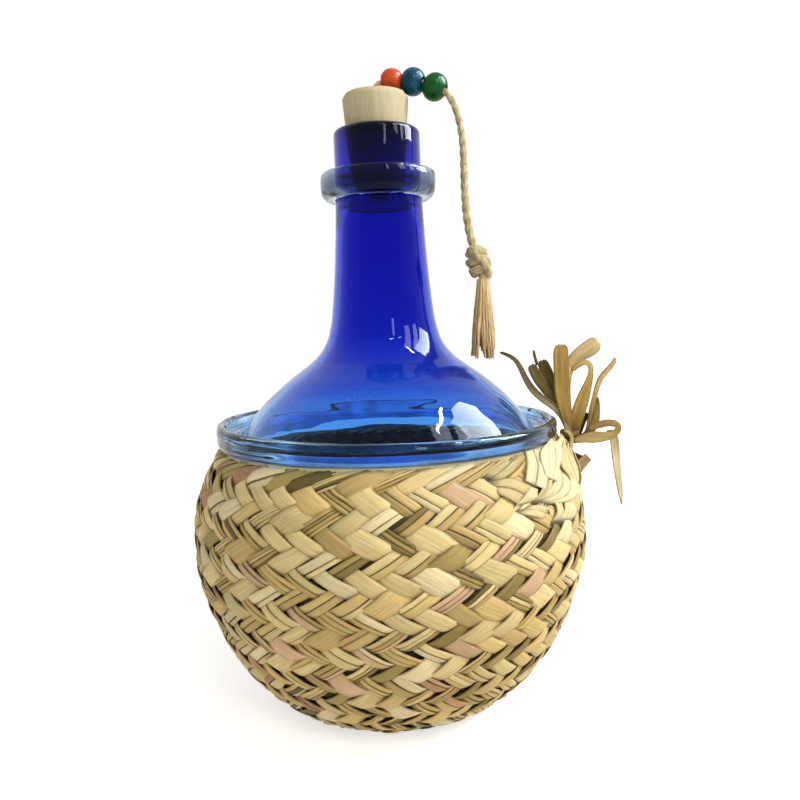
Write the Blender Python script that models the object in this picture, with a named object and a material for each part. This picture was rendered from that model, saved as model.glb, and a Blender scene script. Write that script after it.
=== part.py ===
"""A blue glass bottle in a plaited palm basket, with a wooden stopper on a beaded cord.

Metres, +Z up. The bottle's axis is the Z axis, and the floor is at zero. Each sub-part
is one closed body in an object of its own, and neighbours keep a small gap.
"""

import math

import bmesh
import bpy
import numpy as np
from mathutils import Matrix, Vector

mm = 0.001
full_turn = 2 * math.pi

# Gaps
seat_gap = 0.3 * mm
axis_reach = 0.001 * mm

# How finely round pieces are cut
bottle_steps = 40
ring_steps = 32
ring_inner_rows = 4
stopper_steps = 40
bead_steps = 20
bead_rows = 8
strand_sides = 6
knot_steps = 16
knot_rows = 10

# Basket: its height to the rim and its widest radius drive the outline
basket_height = 112.2 * mm
basket_radius = 84.2 * mm
basket_base_radius = 43.0 * mm
basket_wall = 3.0 * mm
basket_outline_shares = [
    (0.582, 0.027), (0.658, 0.067), (0.727, 0.116), (0.784, 0.169), (0.848, 0.240),
    (0.896, 0.312), (0.940, 0.400), (0.977, 0.490), (0.999, 0.579), (1.000, 0.668),
    (0.987, 0.775), (0.9525, 0.865), (0.901, 0.936), (0.867, 0.980), (0.843, 1.000),
]

# Glass bottle: hidden body, shoulder, long neck and thick lip. The shoulder stands
# above the basket's rim and lies inside it.
glass_wall = 3.0 * mm
punt_height = 8.0 * mm
punt_outline_shares = [(0.0, 1.0), (0.45, 0.72), (0.78, 0.18), (0.90, 0.0), (1.0, 0.0)]
foot_width = 5.0 * mm
shoulder_stand = 3.6 * mm
shoulder_inset = 8.0 * mm
neck_length = 126.5 * mm
lip_wall = 5.05 * mm
lip_rounding = 2.4 * mm
lip_outer_shares = [(0.0, -1.0), (-0.3, -0.3), (-1.0, 0.0)]
lip_inner_share = 0.4
seat_overrun = 2.0 * mm
seat_flare = 10.0 * mm
neck_outline_shares = [
    (1.000, 0.000), (0.915, 0.041), (0.862, 0.066), (0.803, 0.090), (0.740, 0.114),
    (0.666, 0.137), (0.590, 0.160), (0.505, 0.184), (0.378, 0.216), (0.262, 0.248),
    (0.160, 0.294), (0.102, 0.357), (0.063, 0.460), (0.034, 0.579), (0.014, 0.697),
    (0.003, 0.800),
]

# Clear glass collar round the shoulder, with a gutter behind its raised lip
collar_overhang = 2.0 * mm
collar_height = 8.1 * mm
collar_gutter_share = 0.407
collar_outline_shares = [
    (0.76, 0.00), (0.985, 0.16), (1.00, 0.42), (1.00, 0.68), (0.88, 0.914),
    (0.64, 1.00), (0.43, 0.889), (0.34, 0.60), (0.13, 0.42),
]

# Clear glass ring under the lip
neck_ring_radius = 24.2 * mm
neck_ring_height = 11.2 * mm
neck_ring_drop = 17.5 * mm
neck_ring_outline_shares = [
    (0.30, 0.03), (0.58, 0.00), (0.90, 0.09), (1.00, 0.30), (0.99, 0.72), (0.80, 0.94),
    (0.45, 1.00),
]

# Turned wooden stopper
stopper_top_radius = 14.0 * mm
stopper_stand = 14.5 * mm
stopper_depth = 23.3 * mm
stopper_taper = 0.0793
stopper_rounding = 0.9 * mm

# Cord
cord_radius = 1.4 * mm
cord_low_radius = 1.8 * mm
cord_clearance = 0.6 * mm
cord_spacing = 3.4 * mm
hidden_cord_points = 8
cord_route = [
    (0.0 * mm, 0.0 * mm, 256.8 * mm), (0.4 * mm, 0.3 * mm, 259.25 * mm),
    (1.6 * mm, 1.2 * mm, 261.2 * mm), (3.3 * mm, 2.2 * mm, 262.3 * mm),
    (7.0 * mm, 3.1 * mm, 262.8 * mm), (11.7 * mm, 2.2 * mm, 262.6 * mm),
    (16.15 * mm, 0.6 * mm, 261.9 * mm), (20.7 * mm, -1.1 * mm, 260.6 * mm),
    (25.1 * mm, -2.7 * mm, 258.6 * mm), (29.1 * mm, -3.9 * mm, 256.0 * mm),
    (32.0 * mm, -4.5 * mm, 251.8 * mm), (34.6 * mm, -4.8 * mm, 243.5 * mm),
    (35.7 * mm, -4.9 * mm, 235.3 * mm), (36.0 * mm, -4.9 * mm, 225.0 * mm),
    (36.1 * mm, -4.9 * mm, 216.7 * mm), (36.6 * mm, -4.9 * mm, 206.3 * mm),
    (37.9 * mm, -4.9 * mm, 197.4 * mm), (39.2 * mm, -4.9 * mm, 192.5 * mm),
]

# Beads, each strung at its own point of the cord's route
bead_hole_clearance = 0.95 * mm
bead_sizes = {
    "bead_orange": (5.4 * mm, 4.6 * mm),
    "bead_teal": (5.75 * mm, 4.7 * mm),
    "bead_green": (5.75 * mm, 4.7 * mm),
}
bead_route_steps = {"bead_orange": 4, "bead_teal": 6, "bead_green": 8}

# Knots
holding_knot_radius = 4.6 * mm
holding_knot_height = 8.0 * mm
end_knot_radius = 5.0 * mm
end_knot_height = 14.4 * mm
knot_groove_share = 0.10
knot_bands = 2
knot_winding = 3.0

# Tassel: the cord's end, unlaid below the knot
tassel_length = 31.0 * mm
tassel_spread = 2.6 * mm
tassel_end_spread = 3.7 * mm
tassel_clump_shift = 1.5 * mm
strand_radius = 1.05 * mm
strand_lean = -0.6 * mm
strand_ring_count = 6
strand_length_shares = [0.97, 0.90, 0.98, 0.91, 0.86, 0.93, 1.00]
strand_level_shares = [0.0, 0.18, 0.36, 0.55, 0.75, 1.0]

# Tuft of palm strip ends, bound to the basket's edge
binding_width = 10.0 * mm
binding_depth = 15.4 * mm
binding_height = 7.0 * mm
binding_drop = 4.7 * mm
binding_rounding = 2.0 * mm
tuft_reach = 40.0 * mm
strip_thickness = 0.8 * mm
strip_pitch = 1.15 * mm
strip_steps = 2

# Strip ends. Each row: outward and upward from the strip's foot, as shares of the
# tuft's reach; its place in the stack, front to back, as a count of strips; its width,
# as a share of the reach.
long_thin_shares = [
    (-0.05, 0.00, -3, 0.07), (-0.10, 0.18, -3, 0.08), (-0.21, 0.30, -3, 0.08),
    (-0.34, 0.39, -3, 0.08), (-0.465, 0.49, -2, 0.08), (-0.53, 0.605, 1, 0.065),
    (-0.595, 0.75, 4, 0.05), (-0.65, 0.83, 6, 0.045), (-0.72, 0.875, 8, 0.03),
    (-0.78, 0.885, 9, 0.015),
]
olive_shares = [
    (-0.03, 0.00, 2, 0.08), (-0.10, 0.16, 2, 0.10), (-0.20, 0.35, 2, 0.145),
    (-0.30, 0.55, 2.3, 0.19), (-0.375, 0.74, 2.6, 0.185),
]
broad_shares = [
    (-0.02, 0.00, -1, 0.08), (-0.04, 0.10, -1, 0.10), (-0.095, 0.26, -1, 0.14),
    (-0.115, 0.45, -1.2, 0.17), (-0.125, 0.66, -1.6, 0.16), (-0.13, 0.94, -2.4, 0.13),
]
back_shares = [
    (0.04, 0.00, 4, 0.08), (-0.04, 0.26, 4, 0.10), (-0.06, 0.52, 4, 0.13),
    (0.03, 0.73, 4.4, 0.18), (0.17, 0.85, 5.0, 0.195), (0.32, 0.96, 5.6, 0.185),
]
loop_shares = [
    (0.015, 0.00, 0, 0.11), (0.015, 0.14, 0, 0.12), (0.055, 0.31, 0, 0.12),
    (0.145, 0.45, 0.1, 0.09), (0.21, 0.59, 0.3, 0.055), (0.215, 0.70, 0.4, 0.045),
    (0.155, 0.75, 0.4, 0.05), (0.07, 0.725, 0.3, 0.05), (-0.03, 0.66, 0.1, 0.05),
]
wavy_shares = [
    (0.09, 0.00, 1, 0.05), (0.15, 0.04, 1, 0.05), (0.20, 0.13, 1, 0.055),
    (0.25, 0.30, 1, 0.065), (0.30, 0.43, 1.4, 0.075), (0.36, 0.54, 2.0, 0.08),
    (0.44, 0.65, 2.8, 0.06), (0.50, 0.785, 3.6, 0.03),
]
short_shares = [
    (0.09, 0.00, -2, 0.07), (0.16, 0.02, -2, 0.08), (0.215, 0.09, -2, 0.085),
    (0.25, 0.22, -2.3, 0.075), (0.27, 0.34, -2.8, 0.02),
]
dark_shares = [
    (0.07, 0.00, 3, 0.06), (0.11, 0.05, 3, 0.065), (0.17, 0.17, 3, 0.06),
]
curl_shares = [
    (0.00, 0.00, -5, 0.09), (0.06, 0.00, -5, 0.10), (0.21, 0.02, -5, 0.09),
    (0.305, 0.06, -5, 0.07), (0.33, 0.115, -5, 0.06), (0.28, 0.165, -5, 0.07),
    (0.17, 0.165, -5, 0.08), (0.07, 0.15, -5, 0.07),
]
hanging_shares = [
    (0.00, 0.00, -3.9, 0.08), (0.10, 0.005, -3.9, 0.10), (0.21, -0.005, -3.9, 0.10),
    (0.29, -0.06, -3.9, 0.10), (0.32, -0.18, -3.9, 0.10), (0.35, -0.365, -3.9, 0.09),
    (0.39, -0.58, -3.9, 0.065), (0.44, -0.735, -3.9, 0.02),
]
thin_ring_shares = [
    (-0.12, 0.06, -7.2, 0.03), (-0.06, 0.03, -7.2, 0.03), (-0.035, -0.08, -7.2, 0.03),
    (-0.04, -0.16, -7.2, 0.03),
]
stub_height_share = 0.81
stub_stand_off = 1.0 * mm
stub_shares = [
    (0.00, 0.00, -1, 0.09), (0.06, 0.11, -1, 0.09), (0.12, 0.22, -1, 0.08),
]

strip_ends = {
    "leaf_long_thin": (long_thin_shares, "top", "B09A6B"),
    "leaf_olive": (olive_shares, "top", "7F6C32"),
    "leaf_broad": (broad_shares, "top", "B18A45"),
    "leaf_back": (back_shares, "top", "BDA468"),
    "leaf_loop": (loop_shares, "top", "B89350"),
    "leaf_wavy": (wavy_shares, "top", "A88848"),
    "leaf_short": (short_shares, "top", "B39657"),
    "leaf_dark": (dark_shares, "top", "5A3D22"),
    "leaf_curl": (curl_shares, "side", "C0904A"),
    "leaf_hanging": (hanging_shares, "side", "E4CF9C"),
    "leaf_thin_ring": (thin_ring_shares, "top", "C9B06E"),
    "leaf_stub": (stub_shares, "wall", "C3A370"),
}


def linear(hex_colour):
    """The linear colour of six hex digits written in sRGB."""
    parts = [int(hex_colour[k:k + 2], 16) / 255 for k in (0, 2, 4)]
    return [c / 12.92 if c <= 0.04045 else ((c + 0.055) / 1.055) ** 2.4 for c in parts]


def material(name, hex_colour, roughness, transmission=0.0):
    made = bpy.data.materials.new(name)
    made.use_nodes = True
    surface = made.node_tree.nodes["Principled BSDF"]
    surface.inputs["Base Color"].default_value = (*linear(hex_colour), 1.0)
    surface.inputs["Roughness"].default_value = roughness
    surface.inputs["Metallic"].default_value = 0.0
    surface.inputs["Transmission Weight"].default_value = transmission
    made.diffuse_color = (*linear(hex_colour), 1.0)
    return made


def add_object(name, mesh_or_curve, finish, parent=None):
    made = bpy.data.objects.new(name, mesh_or_curve)
    bpy.context.collection.objects.link(made)
    made.data.materials.append(finish)
    if parent:
        made.parent = parent
        made.matrix_parent_inverse = Matrix.Translation(-parent.location)
    return made


def add_empty(name, place, parent=None):
    made = bpy.data.objects.new(name, None)
    made.location = place
    bpy.context.collection.objects.link(made)
    if parent:
        made.parent = parent
        made.matrix_parent_inverse = Matrix.Translation(-parent.location)
    return made


def add_mesh(name, shape, finish, parent=None, sharp_angle=math.radians(40)):
    """Turn a bmesh into an object, faces outward and round parts smooth."""
    bmesh.ops.recalc_face_normals(shape, faces=shape.faces)
    mesh = bpy.data.meshes.new(name)
    shape.to_mesh(mesh)
    shape.free()
    mesh.shade_smooth()
    mesh.set_sharp_from_angle(angle=sharp_angle)
    return add_object(name, mesh, finish, parent)


def smooth_line(points, per_span):
    """A smooth curve through the points, with per_span steps from each to the next."""
    points = [np.array(p, float) for p in points]
    before = 2 * points[0] - points[1]
    after = 2 * points[-1] - points[-2]
    ends = [before, *points, after]
    line = []
    for a, b, c, d in zip(ends, ends[1:], ends[2:], ends[3:]):
        t0 = 0.0
        t1 = t0 + math.sqrt(np.linalg.norm(b - a))
        t2 = t1 + math.sqrt(np.linalg.norm(c - b))
        t3 = t2 + math.sqrt(np.linalg.norm(d - c))
        for k in range(per_span):
            t = t1 + (t2 - t1) * k / per_span
            ab = ((t1 - t) * a + (t - t0) * b) / (t1 - t0)
            bc = ((t2 - t) * b + (t - t1) * c) / (t2 - t1)
            cd = ((t3 - t) * c + (t - t2) * d) / (t3 - t2)
            abc = ((t2 - t) * ab + (t - t0) * bc) / (t2 - t0)
            bcd = ((t3 - t) * bc + (t - t1) * cd) / (t3 - t1)
            line.append(((t2 - t) * abc + (t - t1) * bcd) / (t2 - t1))
    line.append(points[-1])
    return np.array(line)


def even_line(points, spacing):
    """The smooth curve through the points, read at even steps of about the spacing."""
    fine = smooth_line(points, 12)
    steps = np.linalg.norm(np.diff(fine, axis=0), axis=1)
    along = np.concatenate([[0.0], np.cumsum(steps)])
    count = round(along[-1] / spacing)
    wanted = np.linspace(0.0, along[-1], count + 1)
    return np.stack([np.interp(wanted, along, fine[:, k]) for k in range(fine.shape[1])], 1)


def inset_line(line, distance):
    """A line of (radius, height) moved inward; it runs out from the axis and then up."""
    along = np.gradient(line, axis=0)
    along /= np.linalg.norm(along, axis=1)[:, None]
    inward = np.stack([-along[:, 1], along[:, 0]], 1)
    moved = line + distance * inward
    moved[0, 0] = line[0, 0]
    return moved


def radius_at(line, height):
    """The radius of a rising line of (radius, height) at one height."""
    return float(np.interp(height, line[:, 1], line[:, 0]))


def turned(name, outline, finish, steps, parent=None):
    """Spin an outline of (radius, height) once round the Z axis into a closed body."""
    shape = bmesh.new()
    corners = [shape.verts.new((r, 0.0, z)) for r, z in outline]
    pairs = list(zip(corners, corners[1:]))
    if outline[0][0] > axis_reach:
        pairs.append((corners[-1], corners[0]))
    edges = [shape.edges.new(pair) for pair in pairs]
    bmesh.ops.spin(shape, geom=corners + edges, cent=(0, 0, 0), axis=(0, 0, 1),
                   dvec=(0, 0, 0), angle=full_turn, steps=steps, use_merge=True,
                   use_duplicate=False)
    bmesh.ops.remove_doubles(shape, verts=shape.verts, dist=axis_reach)
    return add_mesh(name, shape, finish, parent)


def swept(name, rings, finish, parent=None):
    """Join rings of points, all with as many corners, into a closed body."""
    shape = bmesh.new()
    loops = [[shape.verts.new(p) for p in ring] for ring in rings]
    for low, high in zip(loops, loops[1:]):
        for k in range(len(low)):
            n = (k + 1) % len(low)
            shape.faces.new((low[k], low[n], high[n], high[k]))
    shape.faces.new(loops[0][::-1])
    shape.faces.new(loops[-1])
    return add_mesh(name, shape, finish, parent)


def basket_outer_line():
    points = [(basket_base_radius, 0.0)]
    points += [(r * basket_radius, h * basket_height) for r, h in basket_outline_shares]
    wall = smooth_line(points, 1)
    return np.concatenate([[(0.0, 0.0)], wall])


def bottle_outer_line():
    """The bottle's outside, from the middle of its base up to the straight neck."""
    covered = inset_line(basket_outer_line()[1:], basket_wall + seat_gap)
    foot = basket_wall + seat_gap
    foot_radius = basket_base_radius - foot_width
    covered = covered[covered[:, 0] > foot_radius]
    covered = covered[1:]
    base = [(r * foot_radius, foot + h * punt_height) for r, h in punt_outline_shares]
    return np.concatenate([base, covered, neck_line()])


def rim_radius():
    """The basket's outer radius at its rim."""
    return basket_outline_shares[-1][0] * basket_radius


def shoulder_height():
    return basket_height + shoulder_stand


def lip_height():
    return shoulder_height() + neck_length


def neck_line():
    spread = rim_radius() - shoulder_inset - lip_radius()
    points = [
        (lip_radius() + r * spread, shoulder_height() + h * neck_length)
        for r, h in neck_outline_shares
    ]
    return np.array(points)


def stopper_radius(height):
    """The stopper's radius at a height, on its straight taper."""
    top = lip_height() + stopper_stand
    return stopper_top_radius - stopper_taper * (top - height)


def lip_radius():
    return stopper_radius(lip_height()) + seat_gap + lip_wall


def make_bottle():
    lip = lip_height()
    outer = bottle_outer_line()
    seat_end = lip - stopper_depth - seat_overrun
    inner = inset_line(outer, glass_wall)
    inner = inner[inner[:, 1] < seat_end - seat_flare]
    seat_rounding = lip_inner_share * lip_rounding
    lip_edge = [
        (lip_radius() + r * lip_rounding, lip + h * lip_rounding) for r, h in lip_outer_shares
    ]
    lip_edge += [
        (stopper_radius(lip) + seat_gap + seat_rounding, lip),
        (stopper_radius(lip - seat_rounding) + seat_gap, lip - seat_rounding),
        (stopper_radius(seat_end) + seat_gap, seat_end),
    ]
    outline = [*outer, *lip_edge, *inner[::-1]]
    finish = material("cobalt_glass", "1B1FA0", 0.05, 0.9)
    return turned("glass_bottle", outline, finish, bottle_steps)


def rim_ring(name, low, height, radius, shares, gutter_share, finish, steps):
    """A ring of glass round the bottle; its inner side follows the bottle's surface."""
    bottle = bottle_outer_line()
    inner_heights = np.linspace(low + gutter_share * height, low, ring_inner_rows)
    inner = [(radius_at(bottle, z) + seat_gap, z) for z in inner_heights]
    foot_radius = inner[-1][0]
    outer = [(foot_radius + r * (radius - foot_radius), low + h * height) for r, h in shares]
    return turned(name, [*outer, *inner], finish, steps)


def make_glass_rings():
    clear = material("clear_glass", "B8C8C8", 0.05, 0.9)
    rim_ring("shoulder_ring", basket_height + seat_gap, collar_height,
             rim_radius() + collar_overhang, collar_outline_shares,
             collar_gutter_share, clear, bottle_steps)
    low = lip_height() - neck_ring_drop - neck_ring_height
    rim_ring("neck_ring", low, neck_ring_height, neck_ring_radius,
             neck_ring_outline_shares, 1.0, clear.copy(), ring_steps)


def make_basket():
    outer = basket_outer_line()
    inner = inset_line(outer, basket_wall)
    outline = [*outer, *inner[::-1]]
    return turned("basket_shell", outline, material("palm_plait", "C9B284", 0.7),
                  bottle_steps)


def make_stopper(parent):
    low = lip_height() - stopper_depth
    top = lip_height() + stopper_stand
    hole = cord_radius + cord_clearance
    edge = stopper_rounding
    outline = [
        (hole, low),
        (stopper_radius(low) - edge, low),
        (stopper_radius(low), low + edge),
        (stopper_radius(top - edge), top - edge),
        (stopper_radius(top) - edge, top),
        (hole, top),
    ]
    return turned("stopper", outline, material("turned_wood", "D8C69A", 0.6),
                  stopper_steps, parent)


def cord_tube(name, line, radii, finish, parent):
    """A round cord along a line of points, as a bevelled curve with filled ends."""
    curve = bpy.data.curves.new(name, "CURVE")
    curve.dimensions = "3D"
    curve.bevel_depth = cord_radius
    curve.bevel_resolution = 2
    curve.use_fill_caps = True
    spline = curve.splines.new("POLY")
    spline.points.add(len(line) - 1)
    for point, place, radius in zip(spline.points, line, radii):
        point.co = (*place, 1.0)
        point.radius = radius / cord_radius
    return add_object(name, curve, finish, parent)


def make_cord(parent):
    jute = material("jute_cord", "B49B6C", 0.85)
    line = even_line(cord_route, cord_spacing)
    hanging = len(line) // 2
    radii = [cord_radius] * hanging
    radii += list(np.linspace(cord_radius, cord_low_radius, len(line) - hanging))
    cord_tube("cord", line, radii, jute, parent)
    low = lip_height() - stopper_depth
    top = lip_height() + stopper_stand - seat_gap
    hidden = [(0.0, 0.0, z) for z in np.linspace(low, top, hidden_cord_points)]
    cord_tube("cord_in_stopper", hidden, [cord_radius] * len(hidden), jute.copy(), parent)
    return line


def bead_place(route_point):
    """A bead's middle and axis, from the cord's point in it and the one on each side."""
    before, here, after = (Vector(p) for p in cord_route[route_point - 1:route_point + 2])
    return (before + 2 * here + after) / 4, (after - before).normalized()


def make_beads(parent):
    colours = {"bead_orange": "E0561F", "bead_teal": "0F6F8E", "bead_green": "1C7A2A"}
    hole = cord_radius + bead_hole_clearance
    for name, (radius, half_length) in bead_sizes.items():
        first = math.asin(hole / radius)
        angles = np.linspace(first, math.pi - first, bead_rows + 1)
        outline = [(radius * math.sin(a), half_length * math.cos(a)) for a in angles]
        finish = material(name + "_paint", colours[name], 0.25)
        bead = turned(name, outline, finish, bead_steps, parent)
        middle, axis = bead_place(bead_route_steps[name])
        bead.rotation_mode = "QUATERNION"
        bead.rotation_quaternion = axis.to_track_quat("Z", "Y")
        bead.location = middle


def make_knot(name, top, along, radius, height, finish, parent):
    """A knot as a lump with winding grooves, its top at a point and its length along."""
    shape = bmesh.new()
    bmesh.ops.create_uvsphere(shape, u_segments=knot_steps, v_segments=knot_rows, radius=1.0)
    turn = along.to_track_quat("-Z", "Y")
    middle = top + along * height / 2
    for corner in shape.verts:
        around = math.atan2(corner.co.y, corner.co.x)
        wave = math.cos(knot_bands * around + knot_winding * corner.co.z)
        swell = 1.0 - knot_groove_share * (1.0 - wave) / 2
        spot = Vector((corner.co.x * radius * swell, corner.co.y * radius * swell,
                       corner.co.z * height / 2))
        corner.co = middle + turn @ spot
    return add_mesh(name, shape, finish, parent)


def make_knots(line, parent):
    jute = bpy.data.materials["jute_cord"]
    down = Vector((0.0, 0.0, -1.0))
    low = lip_height() - stopper_depth
    make_knot("holding_knot", down * (seat_gap - low), down, holding_knot_radius,
              holding_knot_height, jute.copy(), parent)
    along = Vector(line[-1] - line[-2]).normalized()
    top = Vector(line[-1]) + along * seat_gap
    make_knot("end_knot", top, along, end_knot_radius, end_knot_height, jute.copy(), parent)
    return top + along * (end_knot_height + seat_gap)


def make_tassel(top, parent):
    """Strands that hang from the knot: one in the middle and a ring of them round it."""
    for number, length_share in enumerate(strand_length_shares):
        ring_place = number < strand_ring_count
        angle = full_turn * number / strand_ring_count
        outward = Vector((math.cos(angle), math.sin(angle), 0.0)) * (1.0 if ring_place else 0.0)
        shift = min(0.0, outward.x) * tassel_clump_shift
        rings = []
        for share in strand_level_shares:
            spread = tassel_spread + (tassel_end_spread - tassel_spread) * share
            middle = top + outward * spread
            middle.x += shift * share ** 2 + strand_lean * share
            middle.z -= tassel_length * length_share * share
            rings.append([
                middle + strand_radius * Vector((math.cos(a), math.sin(a), 0.0))
                for a in np.linspace(0.0, full_turn, strand_sides, endpoint=False)
            ])
        finish = bpy.data.materials["jute_cord"].copy()
        swept(f"tassel_strand_{number + 1}", rings, finish, parent)


def make_binding():
    """The strip wound round the tuft's foot, a rounded block against the basket."""
    top = basket_height - binding_drop + binding_height
    low = top - binding_height
    outward = radius_at(basket_outer_line()[1:], low + binding_rounding / 2)
    middle = Vector((outward + seat_gap + binding_width / 2, 0.0, low + binding_height / 2))
    shape = bmesh.new()
    bmesh.ops.create_cube(shape, size=1.0)
    bmesh.ops.scale(shape, vec=(binding_width, binding_depth, binding_height),
                    verts=shape.verts)
    bmesh.ops.bevel(shape, geom=shape.edges[:], offset=binding_rounding, segments=2,
                    profile=0.5, affect="EDGES")
    bmesh.ops.translate(shape, vec=middle, verts=shape.verts)
    add_mesh("tuft_binding", shape, material("tuft_binding", "8A6A3A", 0.75))
    return middle


def make_strips(binding_middle):
    """The palm strips' free ends: thin ribbons that fan out of the binding."""
    top = binding_middle + Vector((0.0, 0.0, binding_height / 2 + seat_gap))
    side = binding_middle + Vector((binding_width / 2 + seat_gap, 0.0, 0.0))
    wall_height = stub_height_share * basket_height
    wall_radius = radius_at(basket_outer_line()[1:], wall_height) + stub_stand_off
    outward = Vector((1.0, 0.0, 0.0))
    feet = {
        "top": (top, Vector((0.0, 0.0, 1.0))),
        "side": (side, outward),
        "wall": (Vector((wall_radius, 0.0, wall_height)), outward),
    }
    for name, (shares, foot, colour) in strip_ends.items():
        start, away = feet[foot]
        rows = smooth_line(shares, strip_steps)
        middles = [
            start + Vector((out * tuft_reach, place * strip_pitch, up * tuft_reach))
            for out, up, place, width in rows
        ]
        rings = []
        for k, middle in enumerate(middles):
            along = away if k == 0 else middles[min(k + 1, len(middles) - 1)] - middles[k - 1]
            across = Vector((along.z, 0.0, -along.x)).normalized()
            if foot == "wall":
                across = Vector((0.0, 1.0, 0.0))
            half = across * rows[k][3] * tuft_reach / 2
            lift = along.cross(across).normalized() * strip_thickness / 2
            rings.append([middle - half - lift, middle + half - lift,
                          middle + half + lift, middle - half + lift])
        swept(name, rings, material(name, colour, 0.7))


def clear_scene():
    for old in list(bpy.data.objects):
        bpy.data.objects.remove(old)


def main():
    clear_scene()
    make_bottle()
    make_glass_rings()
    make_basket()
    make_strips(make_binding())
    top = lip_height() + stopper_stand
    stopper_slide = add_empty("stopper_slide", (0.0, 0.0, lip_height()))
    string_swivel = add_empty("string_swivel", (0.0, 0.0, top), stopper_slide)
    make_stopper(stopper_slide)
    line = make_cord(string_swivel)
    make_beads(string_swivel)
    make_tassel(make_knots(line, string_swivel), string_swivel)


main()
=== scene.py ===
# %% [markdown]
# # A blue glass bottle in a plaited palm basket
# The measured frame of the bottle is loaded first, and everything here is made round it.
# The frame gives the place and size of each part. This script gives the parts their fine
# shape and their finish: blown glass, plaited palm leaf, turned wood, painted beads and a
# jute cord.

# %% Load the measured frame
import math
import random

import bmesh
import bpy
import numpy as np
from mathutils import Matrix, Vector, noise


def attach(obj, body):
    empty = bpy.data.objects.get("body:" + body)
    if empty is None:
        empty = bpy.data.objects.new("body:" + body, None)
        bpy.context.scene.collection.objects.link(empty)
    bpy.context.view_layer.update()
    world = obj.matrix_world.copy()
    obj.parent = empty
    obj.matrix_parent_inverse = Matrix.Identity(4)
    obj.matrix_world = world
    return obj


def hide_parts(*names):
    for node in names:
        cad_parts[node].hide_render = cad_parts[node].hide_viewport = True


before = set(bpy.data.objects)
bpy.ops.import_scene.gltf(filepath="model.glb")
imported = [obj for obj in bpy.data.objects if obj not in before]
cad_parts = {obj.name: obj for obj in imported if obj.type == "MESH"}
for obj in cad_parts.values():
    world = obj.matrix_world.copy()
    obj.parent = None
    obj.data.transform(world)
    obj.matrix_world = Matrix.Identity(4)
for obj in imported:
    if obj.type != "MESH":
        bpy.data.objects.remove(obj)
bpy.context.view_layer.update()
scene = bpy.context.scene
mm = 0.001
same_spot = 0.001 * mm
full_turn = 2 * math.pi

# %% [markdown]
# ## The camera
# The photo was taken from a little above the bottle's shoulder, close to it, so near parts
# look larger. A camera is a place, three directions and a focal length. The three
# directions are worked out from a turn, a downward tilt and a small roll, because the
# bottle leans a little in the photo.

# %% Place the camera
photo_pixels = 800
focal_pixels = 747
film_width = 36.0
camera_place = Vector((0.0, -325.0, 163.2)) * mm
turn, tilt, roll = (math.radians(a) for a in (1.06, 6.2, 2.0))
forward = Vector((math.sin(turn) * math.cos(tilt), math.cos(turn) * math.cos(tilt),
                  -math.sin(tilt)))
level_right = Vector((math.cos(turn), -math.sin(turn), 0.0))
level_up = level_right.cross(forward)
right = level_right * math.cos(roll) - level_up * math.sin(roll)
up = level_up * math.cos(roll) + level_right * math.sin(roll)
camera = bpy.data.objects.new("camera", bpy.data.cameras.new("camera"))
scene.collection.objects.link(camera)
camera.data.sensor_width = film_width
camera.data.lens = film_width * focal_pixels / photo_pixels
camera.data.clip_start = 10 * mm
camera.matrix_world = Matrix((right, up, -forward)).transposed().to_4x4()
camera.matrix_world.translation = camera_place
scene.camera = camera
print("lens", round(camera.data.lens, 2), "mm")

# %% [markdown]
# ## Lines and sheets
# Most pieces follow a line: the side of the bottle, the run of the cord, the bend of a
# leaf. A smooth curve through a few chosen points gives that line. A sheet of faces is
# then laid along it. Blender's grid operator makes the flat sheet, and each of its points
# is moved to its place, so the faces stay tidy squares.

# %% A smooth line through chosen points
def smooth_line(points, per_span):
    """A smooth curve through the points, with per_span steps from each to the next."""
    points = [np.array(p, float) for p in points]
    ends = [2 * points[0] - points[1], *points, 2 * points[-1] - points[-2]]
    line = []
    for a, b, c, d in zip(ends, ends[1:], ends[2:], ends[3:]):
        knots = [0.0]
        for near, far in ((a, b), (b, c), (c, d)):
            knots.append(knots[-1] + math.sqrt(np.linalg.norm(far - near)))

        def between(t, p, q, low, high):
            span = knots[high] - knots[low]
            return ((knots[high] - t) * p + (t - knots[low]) * q) / span

        for k in range(per_span):
            t = knots[1] + (knots[2] - knots[1]) * k / per_span
            bc = between(t, b, c, 1, 2)
            abc = between(t, between(t, a, b, 0, 1), bc, 0, 2)
            bcd = between(t, bc, between(t, c, d, 2, 3), 1, 3)
            line.append(between(t, abc, bcd, 1, 2))
    line.append(points[-1])
    return np.array(line)


# %% The same line at even steps
def length_along(line):
    steps = np.linalg.norm(np.diff(line, axis=0), axis=1)
    return np.concatenate([[0.0], np.cumsum(steps)])


def even_line(line, spacing):
    """A line read again at even steps of about the spacing."""
    along = length_along(line)
    count = max(2, round(along[-1] / spacing))
    wanted = np.linspace(0.0, along[-1], count + 1)
    return np.stack([np.interp(wanted, along, line[:, k]) for k in range(line.shape[1])], 1)


# %% A sheet of faces laid on a surface
def add_sheet(shape, across, along, place, size=(1.0, 1.0), start=(0.0, 0.0)):
    """Lay a grid of faces; place turns the shares across and along into a point.

    The UV map holds millimetres, so that a pattern has its real size on every sheet.
    """
    uv = shape.loops.layers.uv.verify()
    made = bmesh.ops.create_grid(shape, x_segments=across, y_segments=along, size=0.5)["verts"]
    shares = {corner: (corner.co.x + 0.5, corner.co.y + 0.5) for corner in made}
    for corner, (t, s) in shares.items():
        corner.co = place(t, s)
    for face in {face for corner in made for face in corner.link_faces}:
        for loop in face.loops:
            t, s = shares[loop.vert]
            loop[uv].uv = (start[0] + t * size[0], start[1] + s * size[1])
    return shares


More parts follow.
